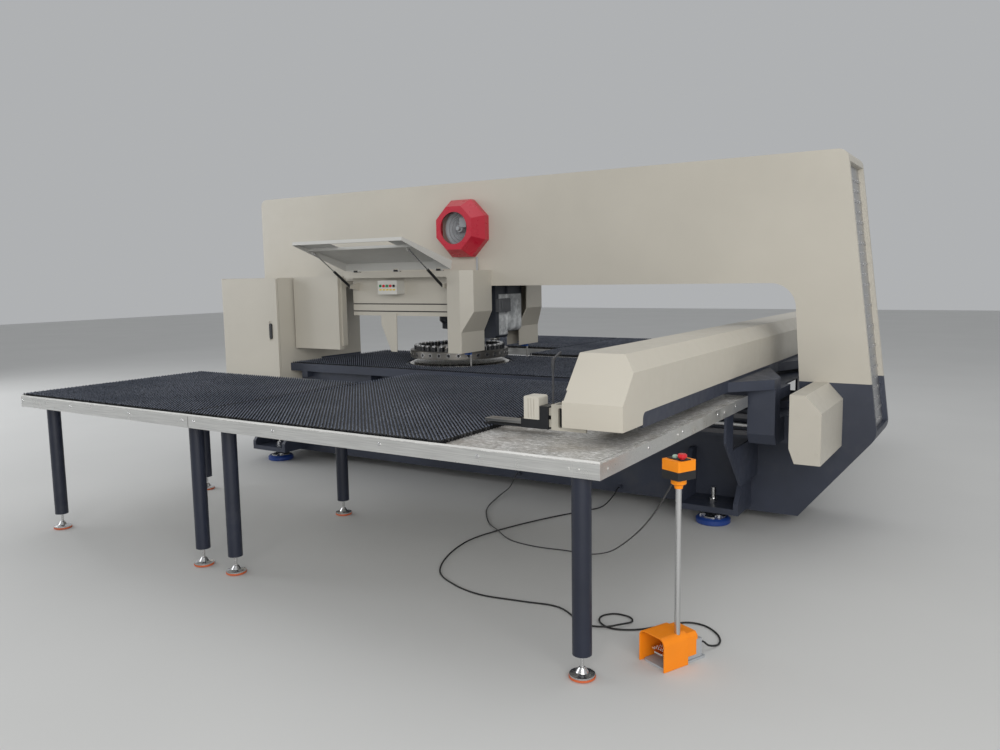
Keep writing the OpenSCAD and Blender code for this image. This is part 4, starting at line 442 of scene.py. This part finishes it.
class Shape:
    """The points and faces of one piece that is being built."""

    def __init__(self):
        self.verts, self.faces = [], []

    def loft(self, *rings, closed=False, bottom=True, top=True):
        """Joins rings of equally many points by faces, and shuts the first and the last ring."""
        start, n, count = len(self.verts), len(rings[0]), len(rings)
        for ring in rings:
            self.verts += ring
        for k in range(count if closed else count - 1):
            here, there = start + k * n, start + (k + 1) % count * n
            for i in range(n):
                j = (i + 1) % n
                self.faces.append((here + i, here + j, there + j, there + i))
        if top:
            self.faces.append(tuple(start + (count - 1) * n + i for i in range(n)))
        if bottom:
            self.faces.append(tuple(start + n - 1 - i for i in range(n)))

    def slab(self, x0, x1, y0, y1, z0, z1):
        """Adds a plain block."""
        self.loft(*([(x, y, z) for x, y in ((x0, y0), (x1, y0), (x1, y1), (x0, y1))]
                    for z in (z0, z1)))

    def plate(self, at, size, lift):
        """Adds a thin plate with rounded corners on a face that looks along -Y."""
        w, h = size[0] / 2, size[1] / 2
        r = PLATE_CORNER * min(w, h)
        outline = []
        for cx, cz, turn in ((w - r, h - r, 0), (r - w, h - r, 90), (r - w, r - h, 180),
                             (w - r, r - h, 270)):
            for k in range(CORNER_STEPS + 1):
                a = math.radians(turn + 90 * k / CORNER_STEPS)
                outline.append((cx + r * math.cos(a), cz + r * math.sin(a)))
        self.loft(*([(at[0] + u, at[1] - d, at[2] + v) for u, v in outline]
                    for d in (-PLATE_SINK, lift)))

    def dome(self, at, out):
        """Adds a low pan-shaped screw head that stands out of a face along -Y or X."""
        rings = []
        for k in range(DOME_RINGS + 1):
            a = math.pi / 2 * k / DOME_RINGS
            reach, d = SCREW_R * math.cos(a * DOME_SHARE), SCREW_H * math.sin(a)
            ring = []
            for i in range(DOME_SIDES):
                b = 2 * math.pi * i / DOME_SIDES
                u, v = reach * math.cos(b), reach * math.sin(b)
                ring.append((at[0] + u, at[1] - d, at[2] + v) if out == "-y"
                            else (at[0] + d, at[1] + u, at[2] + v))
            rings.append(ring)
        self.loft(*rings, bottom=False)

    def chamfered(self, lo, hi, c):
        """Adds a block whose upright and upper edges are cut by c."""
        outline = [(lo[0] + c, lo[1]), (hi[0] - c, lo[1]), (hi[0], lo[1] + c), (hi[0], hi[1] - c),
                   (hi[0] - c, hi[1]), (lo[0] + c, hi[1]), (lo[0], hi[1] - c), (lo[0], lo[1] + c)]
        mx, my = (lo[0] + hi[0]) / 2, (lo[1] + hi[1]) / 2
        self.loft(*([(x + (mx - x) * inset / abs(hi[0] - mx),
                      y + (my - y) * inset / abs(hi[1] - my), z) for x, y in outline]
                    for z, inset in ((lo[2], 0.0), (hi[2] - c, 0.0), (hi[2], c))))

    def piece(self, name, surface, body="machine"):
        """Makes the finished piece, which rides a body."""
        mesh = bpy.data.meshes.new(name)
        mesh.from_pydata(self.verts, [], self.faces)
        mesh.validate()
        obj = add_object(name, mesh)
        dress(obj, surface)
        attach(obj, body)
        return obj


# Bristles
def bristle_bed(shape, x0, x1, y0, y1, z0, z1, hole):
    """The close lower part of a field. A round hole is left out by strips that stop short of it."""
    if not hole:
        shape.slab(x0, x1, y0, y1, z0, z1)
        return
    cx, cy, r = hole
    for k in range(BED_STRIPS):
        ya, yb = (y0 + (y1 - y0) * i / BED_STRIPS for i in (k, k + 1))
        near = min(abs(ya - cy), abs(yb - cy))
        if near >= r:
            shape.slab(x0, x1, ya, yb, z0, z1)
        else:
            half = math.sqrt(r * r - near * near)
            shape.slab(x0, cx - half, ya, yb, z0, z1)
            shape.slab(cx + half, x1, ya, yb, z0, z1)


def tuft_field(name, x0, x1, y0, y1, foot_z, hole=None):
    """Staggered three-sided tufts on a close bed, slightly out of line as worn bristles are."""
    rng = random.Random(name)
    shape = Shape()
    bed_z = PASS_Z - BED_DROP
    bristle_bed(shape, x0 + BED_INSET, x1 - BED_INSET, y0 + BED_INSET, y1 - BED_INSET,
                foot_z, bed_z, hole)
    for row in range(int((y1 - y0 - TUFT_R) / ROW_PITCH)):
        for col in range(int((x1 - x0) / TUFT_PITCH)):
            x = x0 + (col + FIRST_TUFT + 0.5 * (row % 2)) * TUFT_PITCH
            y = y0 + TUFT_R + row * ROW_PITCH
            if x > x1 - TUFT_R or (hole and math.hypot(x - hole[0], y - hole[1]) < hole[2]):
                continue
            outer = min(x - x0, x1 - x, y - y0, y1 - y) < OUTER_TUFTS * BED_INSET
            turn = rng.uniform(0, TUFT_TURN)
            lean = (rng.gauss(0, WEAR), rng.gauss(0, WEAR))
            top = PASS_Z - abs(rng.gauss(0, WEAR))
            foot = foot_z if outer else bed_z - TUFT_SINK
            angles = [turn + i * TUFT_STEP for i in range(TUFT_SIDES)]
            shape.loft(*([(x + k * lean[0] + r * math.cos(a), y + k * lean[1] + r * math.sin(a), z)
                          for a in angles]
                         for z, r, k in ((foot, TUFT_R * TUFT_FOOT, 0), (top, TUFT_R, 1))),
                       bottom=False)
    field = shape.piece(name, materials["bristles"])
    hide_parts("brush_mats")


for side, label in ((-1, "front"), (1, "rear")):
    for x0, x1, inner, kind in ((TABLES_LOW.x + FIELD_RIM, JOINT_X - FIELD_GAP, NARROW_Y, "narrow"),
                                (JOINT_X + FIELD_GAP, TABLES_HIGH.x - BARE, WIDE_Y, "wide")):
        y0, y1 = sorted((side * (inner + FIELD_RIM), side * (TABLES_HIGH.y - FIELD_RIM)))
        tuft_field(f"bristles_{kind}_{label}", x0, x1, y0, y1, DECK_Z)
tuft_field("bristles_centre", CENTRE_LOW.x + FIELD_RIM, CENTRE_BRUSH_X1,
           CENTRE_LOW.y + FIELD_RIM, CENTRE_HIGH.y - FIELD_RIM, CENTRE_HIGH.z,
           (*TURRET, CUTOUT_R))


# Small fittings
def button_labels():
    """Plain yellow plates under the push buttons."""
    low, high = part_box("button_box")
    shape = Shape()
    for i in range(BUTTONS):
        x = (low.x + high.x) / 2 + (i - (BUTTONS - 1) // 2) * BUTTON_PITCH
        shape.plate((x, low.y, low.z + LABEL_UP), LABEL_SIZE, PLATE_LIFT)
    shape.piece("button_labels", label_yellow)


def slot_shade_plates():
    """Black plates at the backs of the clamp brackets' slots, as painted shade in the slots."""
    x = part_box("clamp_brackets")[0].x + SLOT_IN
    shape = Shape()
    for i in range(CLAMPS):
        # Painted shade: a black plate at the back of each slot.
        shape.plate((x, CLAMP_Y0 + CLAMP_PITCH * i + SLOT_BACK, SLOT_Z), SLOT_SIZE, BACK_LIFT)
    shape.piece("slot_shade_plates", shade_black, "carriage")


def lap_shade_strips():
    """Black strips in the two laps of the cross panels, as painted shade in the laps."""
    low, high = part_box("cross_panels")
    shape = Shape()
    for z in LAPS_Z:
        for y in (-PANEL_Y, PANEL_Y):
            shape.slab(low.x + LAP_SHADE_END, high.x - LAP_SHADE_END, y - LAP_SHADE_HALF, y + LAP_SHADE_HALF,
                       z + LAP_SHADE_Z[0], z + LAP_SHADE_Z[1])
    shape.piece("lap_shade_strips", shade_black)


def rim_screws():
    shape = Shape()
    z = TABLES_LOW.z + SCREW_UP
    for x in FRONT_SCREWS_X:
        shape.dome((x, -RIM_Y, z), "-y")
    for y in RIGHT_SCREWS_Y:
        shape.dome((RIM_X, y, z), "x")
    shape.piece("rim_screws", bright)


def table_lips():
    """Folded lips that hold the brush fields along the tables' outer edges."""
    x0, z0, z1 = TABLES_LOW.x + LIP_END, DECK_Z - LIP_SINK, DECK_Z + LIP_H
    shape = Shape()
    for side in (-1, 1):
        outer = side * (RIM_Y - LIP_SINK)
        inner = outer - side * LIP_T
        shape.slab(x0, RIM_X - LIP_END, *sorted((outer, inner)), z0, z1)
        shape.slab(x0, x0 + LIP_T, *sorted((inner, side * (NARROW_Y + LIP_PAST))), z0, z1)
    # The lips' near-white steel is a painted highlight along the tables' edges.
    shape.piece("table_lips", sheen_lip_steel)


def valve_box():
    """Valve box with a cable entry, on the ram guide's side towards the beam."""
    shape = Shape()
    shape.chamfered(VALVE_LOW, VALVE_HIGH, VALVE_CUT)
    shape.chamfered(ENTRY_LOW, ENTRY_HIGH, ENTRY_CUT)
    shape.piece("valve_box", valve_grey)


def hole_ring(angle, r, out):
    """Ring of radius r round the axis of a rim hole, out from the upper disc's rim."""
    c, s = math.cos(angle), math.sin(angle)
    ring = []
    for k in range(HOLE_SIDES):
        turn = 2 * math.pi * k / HOLE_SIDES
        along, up = r * math.cos(turn), r * math.sin(turn)
        ring.append((TURRET[0] + (DISC_R + out) * c - along * s,
                     TURRET[1] + (DISC_R + out) * s + along * c, DISC_MID_Z + up))
    return ring


def rim_holes():
    """A light ring in each hole of the upper disc's rim, and a black disc set into the hole as
    painted shade of its depth.
    """
    bushes, hole_shades = Shape(), Shape()
    for i in range(STATIONS):
        angle = 2 * math.pi * i / STATIONS
        bushes.loft(*(hole_ring(angle, r, out) for r, out in (
            (HOLE_R, BUSH_IN), (HOLE_R, BUSH_OUT), (BUSH_R, BUSH_OUT), (BUSH_R, BUSH_IN))),
            closed=True, bottom=False, top=False)
        # Painted shade: a black disc a few millimetres inside each hole.
        hole_shades.loft(*(hole_ring(angle, HOLE_R - SHADE_DISC_GAP, out) for out in (SHADE_DISC_IN, SHADE_DISC_OUT)))
    bushes.piece("rim_bushes", bright, "upper_turret")
    hole_shades.piece("rim_hole_shades", black_plastic, "upper_turret")


def tapered_lid():
    """The CAD's lid, with flanges that are deep at the hinge and shallow at the free edge."""
    source = NODES["lid"]
    hinge = Matrix.Translation(LID_HINGE) @ Matrix.Rotation(-LID_OPEN, 4, "X")
    to_hinge = hinge.inverted() @ source.matrix_world
    back = to_hinge.inverted()
    mesh = source.data.copy()
    mesh.name = "lid_sheet"
    for v in mesh.vertices:
        q = to_hinge @ v.co
        if abs(q.y - FLANGE_Y) < FLANGE_NEAR and q.z < HINGE_NEAR:
            q.y -= (LID_DEPTH - LID_EDGE) * (-q.z / LID_LENGTH)
            v.co = back @ q
    obj = add_object("lid_sheet", mesh)
    obj.matrix_world = source.matrix_world
    dress(obj, lid_paint)
    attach(obj, "lid")
    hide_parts("lid")


button_labels()
slot_shade_plates()
lap_shade_strips()
rim_screws()
table_lips()
valve_box()
rim_holes()
tapered_lid()


# Cables
# Points of the routes, in millimetres
PEDAL_ROUTE = [(2088.3, -2178.7, 42), (2099.7, -2154.2, 41.5), (2116, -2128.7, 18),
               (2136, -2085, 6), (2134, -2035, 5), (2100, -1975, 5), (2035, -1925, 5),
               (1960, -1925, 5), (1895, -1985, 5), (1800, -2100, 5), (1700, -2150, 5),
               (1625, -2120, 5), (1600, -2055, 5), (1640, -2000, 5), (1710, -2000, 5),
               (1745, -2050, 9), (1720, -2110, 15), (1660, -2165, 11), (1560, -2165, 5),
               (1385, -2060, 5), (1200, -2085, 5), (985, -2115, 5), (800, -2070, 5),
               (630, -1960, 5), (515, -1725, 5), (470, -1450, 5), (520, -1200, 5),
               (600, -970, 5), (690, -765, 5), (790, -580, 6), (850, -450, 10),
               (882, -355, 60), (894, -305, 103), (895, -276, 105)]
HEAD_ROUTE = [(2042, -2286, 749.2), (2020, -2268, 738), (1962, -2190, 666),
              (1829, -2000, 505), (1677, -1800, 347), (1500, -1600, 190), (1350, -1450, 80),
              (1200, -1370, 20), (1050, -1340, 6), (864, -1360, 4), (675, -1330, 5),
              (514, -1222, 13), (375, -1100, 5), (200, -850, 5), (110, -560, 9),
              (100, -400, 35), (100, -308, 103), (100, -276, 105)]
CURVE_STEPS = 6          # steps between two points of a route


def smooth(points):
    """Catmull-Rom curve through the points, in metres."""
    p = [Vector(q) / 1000 for q in points]
    out = []
    for i in range(len(p) - 1):
        a, b, c, d = p[max(i - 1, 0)], p[i], p[i + 1], p[min(i + 2, len(p) - 1)]
        for k in range(CURVE_STEPS):
            t = k / CURVE_STEPS
            out.append((2 * b + (c - a) * t + (2 * a - 5 * b + 4 * c - d) * t * t
                        + (3 * b - a - 3 * c + d) * t ** 3) / 2)
    return out + [p[-1]]


def cable(name, route, diameter, surface, node):
    line = smooth(route)
    curve = bpy.data.curves.new(name, "CURVE")
    curve.dimensions = "3D"
    curve.bevel_depth = diameter / 2
    curve.bevel_resolution = 3
    curve.use_fill_caps = True
    spline = curve.splines.new("POLY")
    spline.points.add(len(line) - 1)
    for point, at in zip(spline.points, line):
        point.co = (*at, 1)
    obj = add_object(name, curve)
    dress(obj, surface)
    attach(obj, "machine")
    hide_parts(node)


cable("foot_switch_cable", PEDAL_ROUTE, 0.008, cable_black, "pedal_cable")
cable("button_head_cable", HEAD_ROUTE, 0.007, cable_grey, "head_cable")


# Stage, light and camera
FLOOR_SIZE, FLOOR_DROP, FLOOR_TONE = 60, 0.0005, (0.62, 0.62, 0.61)
SKY, SKY_STRENGTH = (0.86, 0.88, 0.9, 1), 0.50
CAMERA_AT = (3.13, -5.30, 1.53)
YAW, PITCH, ROLL = (math.radians(a) for a in (32.28, 6.80, 0.93))
FOCAL_PX, SENSOR_MM, IMAGE_PX = 826.0, 36.0, 1000


def floor():
    bpy.ops.mesh.primitive_plane_add(size=FLOOR_SIZE, location=(0, 0, -FLOOR_DROP))
    obj = bpy.context.object
    obj.name = "floor"
    s = Surface("floor", 0.75)
    dress(obj, s.colour(s.blotches(0.7, 3, tint(FLOOR_TONE, 0.98), tint(FLOOR_TONE, 1.02))))


def soft_light(name, at, target, size, power, colour=(1, 1, 1)):
    data = bpy.data.lights.new(name, "AREA")
    data.shape = "RECTANGLE"
    data.size, data.size_y = size
    data.energy = power
    data.color = colour
    obj = add_object(name, data)
    obj.location = at
    obj.rotation_euler = (Vector(target) - Vector(at)).to_track_quat("-Z", "Y").to_euler()


def sky():
    world = bpy.data.worlds.new("world")
    world.use_nodes = True
    background = world.node_tree.nodes["Background"]
    background.inputs["Color"].default_value = SKY
    background.inputs["Strength"].default_value = SKY_STRENGTH
    bpy.context.scene.world = world


def photo_camera():
    forward = Vector((-math.sin(YAW) * math.cos(PITCH), math.cos(YAW) * math.cos(PITCH),
                      -math.sin(PITCH)))
    right = forward.cross(Vector((0, 0, 1))).normalized()
    down = forward.cross(right)
    c, s = math.cos(ROLL), math.sin(ROLL)
    turn = Matrix((c * right + s * down, s * right - c * down, -forward)).transposed()
    data = bpy.data.cameras.new("photo")
    data.lens = FOCAL_PX / IMAGE_PX * SENSOR_MM
    data.sensor_width = SENSOR_MM
    obj = add_object("photo", data)
    obj.matrix_world = Matrix.Translation(CAMERA_AT) @ turn.to_4x4()
    bpy.context.scene.camera = obj


floor()
soft_light("front_windows", (6.5, -8.5, 3.4), (0.8, 0, 0.8), (9, 4.5), 500, (1.0, 0.985, 0.955))
soft_light("left_windows", (-9.5, -3.5, 3.4), (0, 0, 0.9), (8, 4), 300, (0.97, 0.985, 1.0))
soft_light("roof", (0.5, 1.0, 7.5), (0.2, 0, 0.6), (10, 8), 150)
sky()
photo_camera()
bpy.context.scene.view_settings.view_transform = "Standard"
